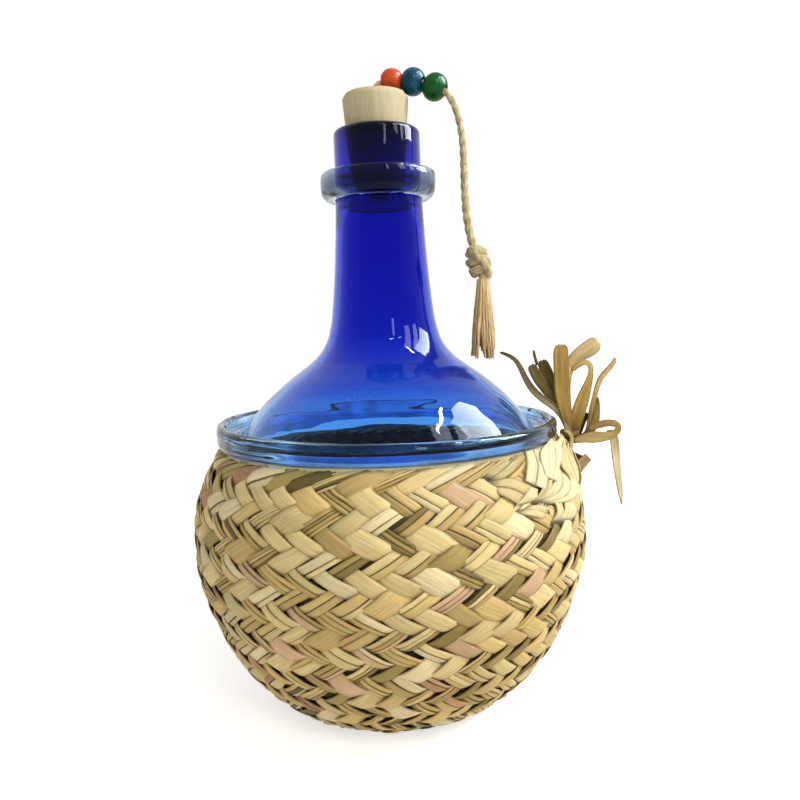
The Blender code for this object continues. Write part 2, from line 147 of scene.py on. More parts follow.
# %% Directions that follow a line without twisting
def follow(line):
    """For each point of a line its place, its direction and two sideways directions."""
    places = [Vector(p) for p in line]
    ends = [places[0], *places, places[-1]]
    side = None
    found = []
    for before, here, after in zip(ends, ends[1:], ends[2:]):
        along = (after - before).normalized()
        if side is None:
            side = along.orthogonal()
        side = (side - along * side.dot(along)).normalized()
        found.append((here, along, side, along.cross(side)))
    return found


# %% A round tube whose section may swell and twist
def add_tube(shape, line, sides, radius_at, start=(0.0, 0.0)):
    """Lay a sheet round a line; radius_at turns a place along and an angle into a radius."""
    spots = follow(line)
    last = len(spots) - 1
    total = length_along(np.array(line))[-1]
    girth = full_turn * radius_at(0.5, 0.0)

    def place(t, s):
        here, along, side, other = spots[round(s * last)]
        angle = full_turn * t
        radius = radius_at(s, angle)
        return here + (side * math.cos(angle) + other * math.sin(angle)) * radius

    made = add_sheet(shape, sides, last, place, (girth / mm, total / mm), start)
    bmesh.ops.remove_doubles(shape, verts=list(made), dist=same_spot)
    bmesh.ops.holes_fill(shape, edges=[e for e in shape.edges if e.is_boundary], sides=sides)


# %% Turn a line once round the bottle's axis
round_steps = 160


def on_circle(r, angle, z):
    """The point at a radius and an angle round the bottle's axis."""
    return Vector((r * math.cos(angle), r * math.sin(angle), z))


def turned(outline, steps=round_steps):
    """Spin a line of (radius, height) round the Z axis into a closed surface."""
    shape = bmesh.new()
    corners = [shape.verts.new((r, 0.0, z)) for r, z in outline]
    pairs = list(zip(corners, corners[1:]))
    if outline[0][0] > same_spot:
        pairs.append((corners[-1], corners[0]))
    edges = [shape.edges.new(pair) for pair in pairs]
    bmesh.ops.spin(shape, geom=corners + edges, cent=(0, 0, 0), axis=(0, 0, 1),
                   dvec=(0, 0, 0), angle=full_turn, steps=steps, use_merge=True,
                   use_duplicate=False)
    bmesh.ops.remove_doubles(shape, verts=shape.verts, dist=same_spot)
    return shape


# %% Finish a piece and hang it on its body
def new_object(name, shape, finish):
    mesh = bpy.data.meshes.new(name)
    shape.to_mesh(mesh)
    shape.free()
    mesh.materials.append(finish)
    made = bpy.data.objects.new(name, mesh)
    scene.collection.objects.link(made)
    return made


def add_piece(name, shape, finish, body, replaced=(), wall=0.0, sharp=60):
    """Make the shape an object that rides on a body of the frame."""
    bmesh.ops.recalc_face_normals(shape, faces=shape.faces)
    piece = new_object(name, shape, finish)
    piece.data.shade_smooth()
    piece.data.set_sharp_from_angle(angle=math.radians(sharp))
    if wall:
        thicken = piece.modifiers.new("wall", "SOLIDIFY")
        thicken.thickness = wall
        thicken.offset = 0.0
    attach(piece, body)
    if replaced:
        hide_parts(*replaced)
    print(name, len(piece.data.polygons), "faces")
    return piece


# %% [markdown]
# ## Colours and materials
# A colour is written as six sRGB hex digits, as in a picture editor, and one function
# turns it to the linear value that the shader wants. Another adds one node with its
# settings and its links, so that each material below reads as a short list.

# %% Colours
def linear(hex_colour):
    parts = [int(hex_colour[k:k + 2], 16) / 255 for k in (0, 2, 4)]
    return [c / 12.92 if c <= 0.04045 else ((c + 0.055) / 1.055) ** 2.4 for c in parts]


def rgba(hex_colour):
    return (*linear(hex_colour), 1.0)


# %% Nodes
def set_sockets(node, sockets):
    """Give sockets a value or a link; a node stands for its own first output."""
    for key, value in sockets.items():
        if isinstance(value, bpy.types.Node):
            value = value.outputs[0]
        if isinstance(value, bpy.types.NodeSocket):
            node.id_data.links.new(value, node.inputs[key])
        else:
            node.inputs[key].default_value = value


def add_node(tree, kind, sockets=None, stops=(), **settings):
    """Add a node with its settings and its links; stops fill a colour ramp."""
    node = tree.nodes.new("ShaderNode" + kind)
    for key, value in settings.items():
        setattr(node, key, value)
    set_sockets(node, sockets or {})
    for k, (place, hex_colour) in enumerate(stops):
        if k > 1:
            node.color_ramp.elements.new(place)
        node.color_ramp.elements[k].position = place
        node.color_ramp.elements[k].color = rgba(hex_colour)
    return node


def empty_tree(owner):
    owner.use_nodes = True
    owner.node_tree.nodes.clear()
    return owner.node_tree


def new_material(name):
    """A material with its surface shader and nothing else."""
    made = bpy.data.materials.new(name)
    tree = empty_tree(made)
    surface = add_node(tree, "BsdfPrincipled")
    add_node(tree, "OutputMaterial", {"Surface": surface})
    return made, tree, surface


def tone_over(tree, colour, value, low, high, most, tone):
    """Lay a tone over a colour: none where the value is low, and most of it where high."""
    share = add_node(tree, "MapRange", {
        "Value": value, "From Min": low, "From Max": high, "To Max": most})
    return add_node(tree, "Mix", {
        "Factor": share, 6: colour, 7: rgba(tone)}, data_type="RGBA").outputs[2]


# %% [markdown]
# ## Jute
# The cord is jute: coarse golden-brown bast fibres spun into yarns and laid together. It
# gives the eye a dull straw colour with darker brown lines that run aslant along each
# yarn, and no shine. The fibres are about 0.1 mm thick; here they are drawn 0.25 mm wide
# so that they show.

# %% Jute material
def jute_fibre(name, stops, patch_tone, slant_degrees):
    made, tree, surface = new_material(name)
    uv = add_node(tree, "UVMap")
    slant = add_node(tree, "Mapping", {
        "Vector": uv, "Rotation": (0, 0, math.radians(slant_degrees)), "Scale": (3.2, 0.22, 1)})
    fibres = add_node(tree, "TexNoise", {
        "Vector": slant, "Scale": 1, "Detail": 3, "Roughness": 0.6})
    colours = add_node(tree, "ValToRGB", {"Fac": fibres}, stops)
    patches = add_node(tree, "TexNoise", {"Vector": uv, "Scale": 0.12, "Detail": 2})
    patched = tone_over(tree, colours, patches, 0.5, 0.8, 0.3, patch_tone)
    bumps = add_node(tree, "Bump", {"Height": fibres, "Strength": 0.8, "Distance": 0.3 * mm})
    set_sockets(surface, {"Base Color": patched, "Normal": bumps,
                          "Roughness": 0.85, "Specular IOR Level": 0.12})
    return made


jute = jute_fibre("spun_jute", [
    (0.28, "6E5C38"), (0.42, "AE9A6C"), (0.56, "D4C292"), (0.74, "EEE0BA")], "94804E", 24)
combed_jute = jute_fibre("combed_jute", [
    (0.28, "A8844E"), (0.42, "CFAC74"), (0.56, "E6CA96"), (0.74, "F6E4BC")], "B8925A", 3)

# %% [markdown]
# ## The cord
# The cord is two jute yarns laid round each other. From outside that reads as two round
# ridges that wind along it. A tube whose section has two lobes, and turns as it goes,
# gives those ridges with few faces. Its run repeats the frame's own points: out of
# the stopper's hole, over its edge through the beads, and straight down to the knot.

# %% The cord's run
cord_route = [
    (0.0, 0.0, 256.8), (0.4, 0.3, 259.25), (1.6, 1.2, 261.2), (3.3, 2.2, 262.3),
    (7.0, 3.1, 262.8), (11.7, 2.2, 262.6), (16.15, 0.6, 261.9), (20.7, -1.1, 260.6),
    (25.1, -2.7, 258.6), (29.1, -3.9, 256.0), (32.0, -4.5, 251.8), (34.6, -4.8, 243.5),
    (35.7, -4.9, 235.3), (36.0, -4.9, 225.0), (36.1, -4.9, 216.7), (36.6, -4.9, 206.3),
    (37.9, -4.9, 197.4), (39.2, -4.9, 192.5),
]
cord_radius = 1.4 * mm
cord_low_radius = 1.8 * mm
yarns = 2
lay_length = 9.0 * mm
cord_line = even_line(smooth_line(np.array(cord_route) * mm, 12), 0.6 * mm)
cord_length = length_along(cord_line)[-1]
print("cord", round(cord_length / mm, 1), "mm")


# %% A section of laid yarns
def laid(radius_from, radius_to, length, depth=0.34, count=yarns, pitch=lay_length):
    """The radius of a laid cord at a share of its length and an angle round it."""
    def radius_at(s, angle):
        ridge = abs(math.cos(count / 2 * (angle - full_turn * s * length / pitch)))
        widened = min(1.0, max(0.0, 2 * s - 1))
        radius = radius_from + (radius_to - radius_from) * widened
        return radius * (1.0 - depth + depth * 1.08 * ridge ** 0.8)
    return radius_at


# %% Make the cord
shape = bmesh.new()
add_tube(shape, cord_line, 24, laid(cord_radius, cord_low_radius, cord_length))
cord = add_piece("laid_cord", shape, jute, "string", ["cord"])

# %% [markdown]
# ## The knots and the tassel
# Under the stopper a knot keeps the cord from slipping out, and at its low end it is tied
# again, and its yarns hang free as a tassel. A knot is the cord itself wound on itself, so
# it is made of the same laid tube, on a line that goes round two and a half times with one
# strand across the front.

# %% A knot wound from the cord
def add_knot(shape, middle, along, radius, height, thick, turns, lean):
    """Wind a laid tube round a knot's middle."""
    turn_to = Vector(along).to_track_quat("-Z", "Y")
    coil = []
    for share in np.linspace(0.0, 1.0, 14 * round(turns) + 1):
        angle = full_turn * turns * share - math.pi / 2
        belly = 0.72 + 0.28 * math.sin(math.pi * share)
        spot = Vector((math.cos(angle), math.sin(angle), 0.0)) * (radius - thick) * belly
        spot.z = (0.5 - share) * (height - 2 * thick) + lean * math.cos(angle)
        coil.append(middle + turn_to @ spot)
    line = even_line(smooth_line(coil, 3), 0.5 * mm)
    length = length_along(line)[-1]
    add_tube(shape, line, 18, laid(thick, thick, length, 0.28), (30.0, 0.0))


# %% The end knot and the holding knot
end_along = Vector(cord_line[-1] - cord_line[-2]).normalized()
knot_top = Vector(cord_line[-1]) + end_along * 0.3 * mm
knot_height = 14.4 * mm
knot_middle = knot_top + end_along * knot_height / 2
shape = bmesh.new()
add_knot(shape, knot_middle, end_along, 5.4 * mm, knot_height, 2.2 * mm, 2.6, 1.5 * mm)
core = [knot_top + end_along * knot_height * share for share in (-0.02, 0.3, 0.6, 1.02)]
add_tube(shape, even_line(smooth_line(core, 6), 0.6 * mm), 18,
         laid(1.9 * mm, 1.9 * mm, knot_height), (0.0, 60.0))
strand = [(-3.0, -2.4, 5.2), (-1.8, -3.9, 3.4), (0.6, -4.3, 1.0), (2.6, -3.9, -1.4),
          (3.4, -2.2, -3.4)]
strand = [knot_middle + Vector(p) * mm for p in strand]
add_tube(shape, even_line(smooth_line(strand, 6), 0.5 * mm), 18,
         laid(1.8 * mm, 1.8 * mm, 14 * mm), (50.0, 20.0))
end_knot = add_piece("tied_knot", shape, jute, "string", ["end_knot"])

# %% The cord inside the stopper, with its holding knot
shape = bmesh.new()
hidden = np.array([(0.0, 0.0, z * mm) for z in np.linspace(219.0, 256.5, 50)])
add_tube(shape, hidden, 18, laid(cord_radius, cord_radius, 37.5 * mm))
add_knot(shape, Vector((0.0, 0.0, 216.0 * mm)), Vector((0, 0, -1)), 4.2 * mm, 5.8 * mm,
         1.5 * mm, 2.4, 0.4 * mm)
add_piece("cord_through_stopper", shape, jute, "string",
          ["cord_in_stopper", "holding_knot"])

# %% The tassel's yarns
# Blender's noise_vector shifts its samples at random on each run unless it gets a seed.
chance = random.Random(11)
noise.seed_set(11)
tassel_top = knot_top + end_along * (knot_height - 0.5 * mm)
tassel_length = 34.5 * mm
yarn_count, golden_share = 84, 0.618
shape = bmesh.new()
for number in range(yarn_count):
    angle = full_turn * number * golden_share
    ring = math.sqrt((number + 0.5) / yarn_count)
    outward = Vector((math.cos(angle), 0.75 * math.sin(angle), 0.0)) * ring
    left = outward.x < -0.35
    length = tassel_length * (chance.uniform(0.86, 0.98) if left else chance.uniform(0.82, 1.0))
    sway = Vector((chance.uniform(0, 50), chance.uniform(0, 50), chance.uniform(0, 50)))
    line = []
    for share in np.linspace(0.0, 1.0, 13):
        wide = 2.2 + 2.7 * share ** 0.8 - 0.6 * share ** 3
        spot = tassel_top + outward * wide * mm
        spot.x += (-1.3 * share ** 2.5 if left else 0.75 * share ** 2) * mm - 0.3 * mm * share
        wave = noise.noise_vector(sway + Vector((0, 0, 3.0 * share)))
        spot += wave * 0.8 * mm * share ** 0.5
        spot.z = tassel_top.z - length * share
        line.append(spot)
    thick = chance.uniform(0.34, 0.54) * mm
    add_tube(shape, smooth_line(line, 2), 6,
             lambda s, a, thick=thick: thick * (1.0 - 0.35 * s ** 6), (number * 7.0, 0.0))
tassel = add_piece("tassel_yarns", shape, combed_jute, "string",
                   [f"tassel_strand_{k}" for k in range(1, 8)])

# %% [markdown]
# ## The beads
# Three wooden beads are dipped in gloss paint and strung on the cord. A bead is a ball
# with a hole, slightly shorter than it is wide. The paint is bright and smooth and sinks a
# little into the grain.

# %% Bead paint
def bead_paint(name, bright, deep):
    made, tree, surface = new_material(name)
    place = add_node(tree, "TexCoord").outputs["Object"]
    cloud = add_node(tree, "TexNoise", {"Vector": place, "Scale": 260, "Detail": 3})
    colours = add_node(tree, "ValToRGB", {"Fac": cloud}, [(0.3, deep), (0.62, bright)])
    fine = add_node(tree, "TexNoise", {"Vector": place, "Scale": 900, "Detail": 2})
    bumps = add_node(tree, "Bump", {"Height": fine, "Strength": 0.25, "Distance": 0.1 * mm})
    set_sockets(surface, {
        "Base Color": colours, "Normal": bumps, "Roughness": 0.38,
        "Specular IOR Level": 0.05, "Coat Weight": 0.22, "Coat Roughness": 0.12})
    return made


# %% Make the beads
beads = {
    "orange": ((7.25, 2.65, 262.63), (0.9994, 0.0, 0.0357), 5.4, 4.6, "DA5220", "A83812"),
    "teal": ((16.17, 0.58, 261.75), (0.9191, -0.337, -0.2042), 5.75, 4.7, "06526C", "032E42"),
    "green": ((25.0, -2.6, 258.45), (0.8419, -0.2806, -0.461), 5.75, 4.7, "0A5C1C", "05360E"),
}
bead_hole, bead_steps = 2.35, 48
for name, (middle, axis, radius, half, bright, deep) in beads.items():
    first = math.asin((bead_hole / radius) ** (1 / 0.9))
    angles = np.linspace(first, math.pi - first, 25)
    outline = [(radius * math.sin(a) ** 0.9 * mm, 1.1 * half * math.cos(a) * mm)
               for a in angles]
    shape = turned(outline, bead_steps)
    rim = [edge for edge in shape.edges
           if all(abs(Vector(v.co.xy).length - bead_hole * mm) < 0.01 * mm for v in edge.verts)
           and abs(edge.verts[0].co.z - edge.verts[1].co.z) < 0.01 * mm]
    bmesh.ops.bevel(shape, geom=rim, offset=0.35 * mm, segments=3, profile=0.5,
                    affect="EDGES", material=-1)
    turn_to = Vector(axis).to_track_quat("Z", "Y").to_matrix().to_4x4()
    bmesh.ops.transform(shape, matrix=Matrix.Translation(Vector(middle) * mm) @ turn_to,
                        verts=shape.verts)
    paint = bead_paint(f"{name}_gloss_paint", bright, deep)
    add_piece(f"{name}_painted_bead", shape, paint, f"{name}_bead",
                                 [f"bead_{name}"])

# %% [markdown]
# ## The blown glass bottle
# The bottle is mouth-blown blue glass: one even wall from its hollow foot up to a thick
# lip. The colour comes from cobalt in the glass and is set by height: deepest at the lip,
# where the eye looks through most glass, and a lighter sky blue low on the dome, which is
# partly painted light for the light that comes in through the glass there. A line of the
# bottle's outside is moved inward by the wall's thickness for its inside, both are joined at
# the lip, and the line is turned once round.
# Small bubbles, which glassmakers call seeds, show as dark dots. The photo's room is dim,
# and a dark Specular Tint keeps the white surroundings out of the gloss.

# %% The basket's and the bottle's outlines
basket_height, basket_radius, basket_base = 112.2 * mm, 84.2 * mm, 43.0 * mm
basket_shares = [
    (0.582, 0.027), (0.658, 0.067), (0.727, 0.116), (0.784, 0.169), (0.848, 0.240),
    (0.896, 0.312), (0.940, 0.400), (0.977, 0.490), (0.999, 0.579), (1.000, 0.668),
    (0.987, 0.775), (0.9525, 0.865), (0.901, 0.936), (0.867, 0.980), (0.843, 1.000),
]
wall_points = [(basket_base, 0.0)]
wall_points += [(r * basket_radius, h * basket_height) for r, h in basket_shares]
wall_line = smooth_line(wall_points, 5)


def line_radius(line, z):
    """The radius at a height of a line of (radius, height) that rises."""
    return float(np.interp(z, line[:, 1], line[:, 0]))


def moved_in(line, distance):
    """A line of (radius, height) that runs out and up, moved towards the axis."""
    along = np.gradient(line, axis=0)
    along /= np.linalg.norm(along, axis=1)[:, None]
    return line + distance * np.stack([-along[:, 1], along[:, 0]], 1)


# %% The bottle's outside
lip_top, lip_radius, lip_rounding = 242.3 * mm, 18.2 * mm, 2.4 * mm
shoulder, shoulder_radius = 115.8 * mm, 62.98 * mm
neck_shares = [
    (1.000, 0.000), (0.915, 0.041), (0.862, 0.066), (0.803, 0.090), (0.740, 0.114),
    (0.666, 0.137), (0.590, 0.160), (0.505, 0.184), (0.378, 0.216), (0.262, 0.248),
    (0.160, 0.294), (0.102, 0.357), (0.063, 0.460), (0.034, 0.579), (0.014, 0.697),
    (0.003, 0.800), (0.0, 0.90),
]
foot = [(r * 38.0 * mm, (3.3 + h * 8.0) * mm) for r, h in
        [(0.0, 1.0), (0.45, 0.72), (0.78, 0.18), (0.90, 0.0)]]
covered = moved_in(smooth_line(wall_points, 1), 3.3 * mm)
covered = [tuple(p) for p in covered if p[0] > 41 * mm]
neck = [(lip_radius + r * (shoulder_radius - lip_radius), shoulder + h * 126.5 * mm)
        for r, h in neck_shares]
outside = smooth_line([*foot, *covered[:-1], *neck], 5)

# %% The lip, the stopper's seat and the inside
lip = [(lip_radius + r * lip_rounding, lip_top + h * lip_rounding)
       for r, h in [(0.0, -1.0), (-0.06, -0.6), (-0.3, -0.26), (-0.62, -0.06), (-1.0, 0.0)]]
seat = [(13.75 * mm, lip_top), (13.3 * mm, lip_top - 0.3 * mm),
        (13.08 * mm, lip_top - 1.0 * mm), (11.15 * mm, 217.0 * mm)]
inside = moved_in(outside, 3.0 * mm)
inside[0, 0] = 0.0
inside = [tuple(p) for p in inside if p[1] < 206.5 * mm]
bottle_line = [*[tuple(p) for p in outside], *lip, *seat, *inside[::-1]]
print("bottle outline", len(bottle_line), "points")

# %% Blue glass material
# Ripples and patches of seeds are about 22 mm apart, and single seeds about 2.4 mm.
ripple_scale, seed_scale = 45, 420
plain_glass = {"Transmission Weight": 1, "Roughness": 0, "Specular Tint": rgba("777A88")}
blue_glass, tree, surface = new_material("cobalt_blown_glass")
place = add_node(tree, "TexCoord").outputs["Object"]
apart = add_node(tree, "SeparateXYZ", {"Vector": place})
height = add_node(tree, "MapRange", {
    "Value": apart.outputs["Z"], "From Min": 0, "From Max": 250 * mm})
# Tint by height; the lighter sky blue low on the dome is partly painted light.
tint = add_node(tree, "ValToRGB", {"Fac": height}, [
    (0.40, "90C8F4"), (0.450, "96CCF2"), (0.486, "7CB4EA"), (0.515, "649AE4"),
    (0.545, "4880DC"), (0.575, "3868D4"), (0.64, "324DCE"), (0.76, "2C38C8"),
    (0.895, "2A30C4"), (0.92, "2420A4"), (0.952, "1A187C"), (0.966, "0A0A2C")])
streaks = add_node(tree, "Mapping", {"Vector": place, "Scale": (1, 1, 0.25)})
flow = add_node(tree, "TexNoise", {"Vector": streaks, "Scale": ripple_scale, "Detail": 2})
bumps = add_node(tree, "Bump", {"Height": flow, "Strength": 0.2, "Distance": mm})
seeds = add_node(tree, "TexVoronoi", {"Vector": place, "Scale": seed_scale})
seed_patch = add_node(tree, "TexNoise", {"Vector": place, "Scale": ripple_scale, "Detail": 1})
seed_size = add_node(tree, "MapRange", {
    "Value": seed_patch, "From Min": 0.56, "From Max": 0.68, "To Max": 0.26})
seed_share = add_node(tree, "Math", {0: seeds, 1: seed_size}, operation="LESS_THAN")
seeded = tone_over(tree, tint, seed_share, 0, 1, 0.45, "101C50")
set_sockets(surface, {"Base Color": seeded, "Normal": bumps, "IOR": 1.45, **plain_glass})

# %% Make the bottle
add_piece("blown_bottle", turned(bottle_line), blue_glass, "bottle",
          ["glass_bottle"], sharp=80)

# %% [markdown]
# ## The clear glass rings
# Two threads of clear, faintly green glass were laid round the hot bottle: a thin one
# under the lip and a wide, lipped one round the shoulder. Each keeps the round,
# slightly uneven edge of poured glass. Its section is a short closed line turned once,
# and each height has a tint, deeper below and clearer above. The azure band in the
# shoulder ring's tints is painted light, a glow of light coming through from the bottle.

# %% Clear glass material
clear_glass, tree, surface = new_material("clear_trailed_glass")
place = add_node(tree, "TexCoord").outputs["Object"]
cloud = add_node(tree, "TexNoise", {"Vector": place, "Scale": 75, "Detail": 1})
tint = add_node(tree, "Attribute", attribute_name="glass_tint")
bumps = add_node(tree, "Bump", {"Height": cloud, "Strength": 0.4, "Distance": mm})
depth = add_node(tree, "MapRange", {
    "Value": cloud, "From Min": 0.36, "From Max": 0.64, "To Min": 0.66, "To Max": 1.36})
deepened = add_node(tree, "VectorMath", {0: tint, "Scale": depth}, operation="SCALE")
set_sockets(surface, {"Base Color": deepened, "Normal": bumps, "IOR": 1.48, **plain_glass})

# %% The section of a ring
def glass_ring(name, low, height, radius, shares, inner_top, tints, slope=0,
               wobble=0.3 * mm):
    """A ring whose inner side follows the bottle's outside, a hair's breadth off it.

    The tints are those of its inner side and, from its foot up, of its outer side. With a
    slope its top stands a little higher on the left, as poured glass does.
    """
    rising = outside[outside[:, 1] > 90 * mm]
    inner = [(line_radius(rising, z) + 0.3 * mm, z)
             for z in np.linspace(low + inner_top * height, low, 8)]
    foot_radius = inner[-1][0]
    outer = [(foot_radius + r * (radius - foot_radius), low + h * height) for r, h in shares]
    outer = [tuple(p) for p in smooth_line(outer, 5)]
    shape = turned([*outer, *inner])
    tint_layer = shape.verts.layers.float_color.new("glass_tint")
    tints = np.array([linear(tint) for tint in tints])
    steps = np.linspace(0, 1, len(tints) - 1)
    for corner in shape.verts:
        share = (corner.co.z - low) / height
        tint = tints[0]
        if corner.co.xy.length > line_radius(rising, corner.co.z) + 0.8 * mm:
            tint = [np.interp(share, steps, tints[1:, k]) for k in range(3)]
            uneven = noise.noise(corner.co * 70 + Vector((5, 0, 0)))
            corner.co.xy *= 1.0 + wobble * uneven * min(1.0, share * 4) / radius
        corner[tint_layer] = (*tint, 1.0)
        across = corner.co.x / radius
        corner.co.z = low + (corner.co.z - low) * (1.0 + slope * across * (across - 3.0))
    add_piece(name.replace("_ring", "_glass_ring"), shape, clear_glass, "bottle",
              [name], sharp=80)


# %% Make the rings
shoulder_shares = [
    (0.76, 0), (0.985, 0.16), (1, 0.42), (1, 0.68), (0.88, 0.914), (0.64, 1),
    (0.43, 0.889), (0.34, 0.6), (0.13, 0.42)]
neck_ring_shares = [
    (0.25, 0.04), (0.56, 0), (0.8, 0.1), (0.96, 0.25), (1, 0.38), (1, 0.8),
    (0.93, 0.94), (0.76, 1), (0.45, 0.98)]
# The shoulder ring's azure tint is painted light, a glow through the blue bottle.
glass_ring("shoulder_ring", 112.5 * mm, 8.1 * mm, 72.98 * mm, shoulder_shares, 0.407,
           ["88B6DC", "1C4FA0", "4A88D0", "88ACCA", "C8D2D4"], 0.05)
glass_ring("neck_ring", 213.6 * mm, 11.2 * mm, 24.2 * mm, neck_ring_shares, 1.0,
           ["F4F4FF", "7A8E8C", "505E78", "5A6884", "A4B2B8"], wobble=0.5 * mm)

# %% [markdown]
# ## The palm leaf
# The basket is plaited from split dwarf-palm leaf: flat straps a few millimetres wide,
# some single, some of two or three narrow leaflets side by side. Dried leaf is straw
# coloured, with olive ones cut greener and pinkish ones near the root. Fine ribs run along
# each strap. A dark brown line runs along each cut edge; it is partly the edge's own colour
# and partly painted shade of the crevices between straps. The parts that dip under others
# are painted dark as shade. The tone, with this painted shade, and the distance to the edge
# are kept at each point of a strap, and the material reads them.

# %% Palm leaf material
palm, tree, surface = new_material("dried_palm_leaf")
uv = add_node(tree, "UVMap")
base = add_node(tree, "Attribute", attribute_name="leaf_colour")
edge = add_node(tree, "Attribute", attribute_name="leaf_edge")
ribs_place = add_node(tree, "Mapping", {"Vector": uv, "Scale": (2.4, 0.07, 1)})
ribs = add_node(tree, "TexNoise", {
    "Vector": ribs_place, "Scale": 1, "Detail": 3, "Roughness": 0.65})
rib_share = add_node(tree, "MapRange", {
    "Value": ribs, "From Min": 0.3, "From Max": 0.72, "To Min": 0.74, "To Max": 1.14})
ribbed = add_node(tree, "VectorMath", {0: base, "Scale": rib_share}, operation="SCALE")
stain_place = add_node(tree, "Mapping", {"Vector": uv, "Scale": (0.22, 0.07, 1)})
stains = add_node(tree, "TexNoise", {"Vector": stain_place, "Scale": 1, "Detail": 3})
stained = tone_over(tree, ribbed, stains, 0.56, 0.8, 0.35, "C0916C")
# Painted shade, in part: the dark brown line at each strap's edge is partly the cut edge's
# colour and partly the shade in the crevices between straps.
dark_edge_and_shade = tone_over(tree, stained, edge.outputs["Fac"], 0.84, 1, 0.6, "64502A")
bumps = add_node(tree, "Bump", {"Height": ribs, "Strength": 0.6, "Distance": 0.25 * mm})
set_sockets(surface, {"Base Color": dark_edge_and_shade, "Normal": bumps,
                      "Roughness": 0.55, "Specular IOR Level": 0.1})

# %% A sheet of leaf with its tone and its cut edges
leaf_thickness = 0.45 * mm


def new_leaf_shape():
    shape = bmesh.new()
    shape.verts.layers.float_color.new("leaf_colour")
    shape.verts.layers.float.new("leaf_edge")
    return shape


def add_blade(shape, columns, rows, place, size, start, tone_at, edge=1.0):
    """Lay a sheet and paint it; tone_at turns the shares across and along into a colour."""
    colour_layer = shape.verts.layers.float_color["leaf_colour"]
    edge_layer = shape.verts.layers.float["leaf_edge"]
    for corner, (t, s) in add_sheet(shape, columns, rows, place, size, start).items():
        corner[colour_layer] = (*tone_at(t, s), 1.0)
        corner[edge_layer] = edge * abs(2 * t - 1)


def finish_leaves(name, shape, replaced=()):
    add_piece(name, shape, palm, "bottle", replaced, leaf_thickness, 180)


# %% [markdown]
# ## The plait
# Two sets of straps wind down the basket, one to the right and one to the left. Each goes
# over two of the other set and under two, all in step, and that gives rows of slanting
# floats that lean one way and then the other. The straps keep their width, so where the
# basket is wide they lie flat and where it narrows they stand steeper. The plait's
# levels, counted down from the rim, are worked out from that.

# %% The plait's own surface
strap_count = 46
strap_width = 5.9 * mm
plait_depth = 1.45 * mm
down = moved_in(wall_line, plait_depth)[::-1]
down = down[(down[:, 1] < 110.4 * mm) & (down[:, 1] > 2.5 * mm)]
rim_turn = [(69.3 * mm, 107.0 * mm), (69.25 * mm, 109.6 * mm), (69.45 * mm, 110.7 * mm)]
under = [(42.0 * mm, 2.2 * mm), (34.0 * mm, 2.4 * mm), (20.0 * mm, 2.6 * mm)]
plait_line = even_line(smooth_line([*rim_turn, *down[::4], *under], 6), 0.5 * mm)
plait_along = length_along(plait_line)
plait_slope = np.gradient(plait_line, axis=0)
plait_slope /= np.linalg.norm(plait_slope, axis=1)[:, None]
rim_at = plait_along[np.argmax(plait_line[:, 1])] + 0.8 * mm

# %% The levels of the plait
level_step, fine_step = 0.125, 0.02
level_table = [(0.0, 0.0)]
while level_table[-1][1] < plait_along[-1]:
    level, at = level_table[-1]
    spacing = full_turn * np.interp(at, plait_along, plait_line[:, 0]) / strap_count
    width = min(strap_width, 0.75 * spacing)
    row = width * spacing / math.sqrt(spacing ** 2 - width ** 2)
    level_table.append((level + level_step, at + row / 2 * level_step))
level_table = np.array(level_table)
level_table[:, 0] -= np.interp(rim_at, level_table[:, 1], level_table[:, 0]) + 0.5
first_level, last_level = level_table[0, 0], level_table[-1, 0]
fine_levels = np.arange(first_level, last_level, fine_step)
fine_at = np.interp(fine_levels, level_table[:, 0], level_table[:, 1])
fine = [np.interp(fine_at, plait_along, column) for column in
        (plait_line[:, 0], plait_line[:, 1], -plait_slope[:, 1], plait_slope[:, 0])]
fine = np.stack(fine, 1)
print("plait levels", round(first_level, 2), "to", round(last_level, 2))


def rim_sag(angle, z):
    """How far the rim hangs lower at the back; the sag fades out below 85 mm."""
    back = max(0.0, math.sin(angle)) ** 0.5
    return 2.8 * mm * back * max(0.0, min(1.0, (z - 85 * mm) / (24 * mm)))


def plait_place(level, around, lift):
    """The point at a level, a count of strap spacings round, and a lift off the plait."""
    index = min(len(fine) - 1, max(0, int((level - first_level) / fine_step)))
    r, z, out_r, out_z = fine[index]
    angle = around * full_turn / strap_count - math.pi / 2
    r += out_r * lift
    z += out_z * lift - rim_sag(angle, z)
    return on_circle(r, angle, z)


# %% One strap's run over and under
float_lift = 0.85 * mm


def lies_over(family, cross):
    """1 where a strap lies on the other set, -1 where it goes under."""
    return -family * math.cos(math.pi / 2 * (cross - 0.5))


def strap_place(family, strap, side, cross, lift):
    """A point of a strap: side is its place across, cross counts the straps it crosses."""
    level = cross - family * side
    lean = 0.30 * max(0.0, 1.7 - level) ** 1.5
    around = strap + side / 2 + family * cross / 2 + lean
    swing = math.tanh(1.7 * lies_over(family, cross)) / math.tanh(1.7)
    calm = 0.45 if level < -0.5 else 1.0
    return plait_place(level, around, float_lift * swing * calm + lift)


# %% Kinds of strap
leaf_tones = [linear(tone) for tone in (
    "DABC78", "E8D090", "CAAC6C", "F0DCA8", "B49E5E", "948048", "DCB68A", "C2966E", "7A6C3A")]
common_tones = [30, 30, 14, 12, 7, 3, 3, 1, 2]
# Wide, plain and narrow straps: how many in a hundred, the odds of one to four leaflets,
# half the width in spacings, how far a float stands off in mm, and the odds of each tone.
strap_kinds = [
    (24, [78, 22, 0, 0], (0.62, 0.80), 0.34, [30, 36, 8, 18, 1, 0, 9, 2, 0]),
    (48, [50, 28, 16, 6], (0.47, 0.57), 0.0, common_tones),
    (28, [16, 40, 30, 14], (0.38, 0.45), -0.12, [24, 16, 22, 6, 20, 12, 1, 1, 8]),
]


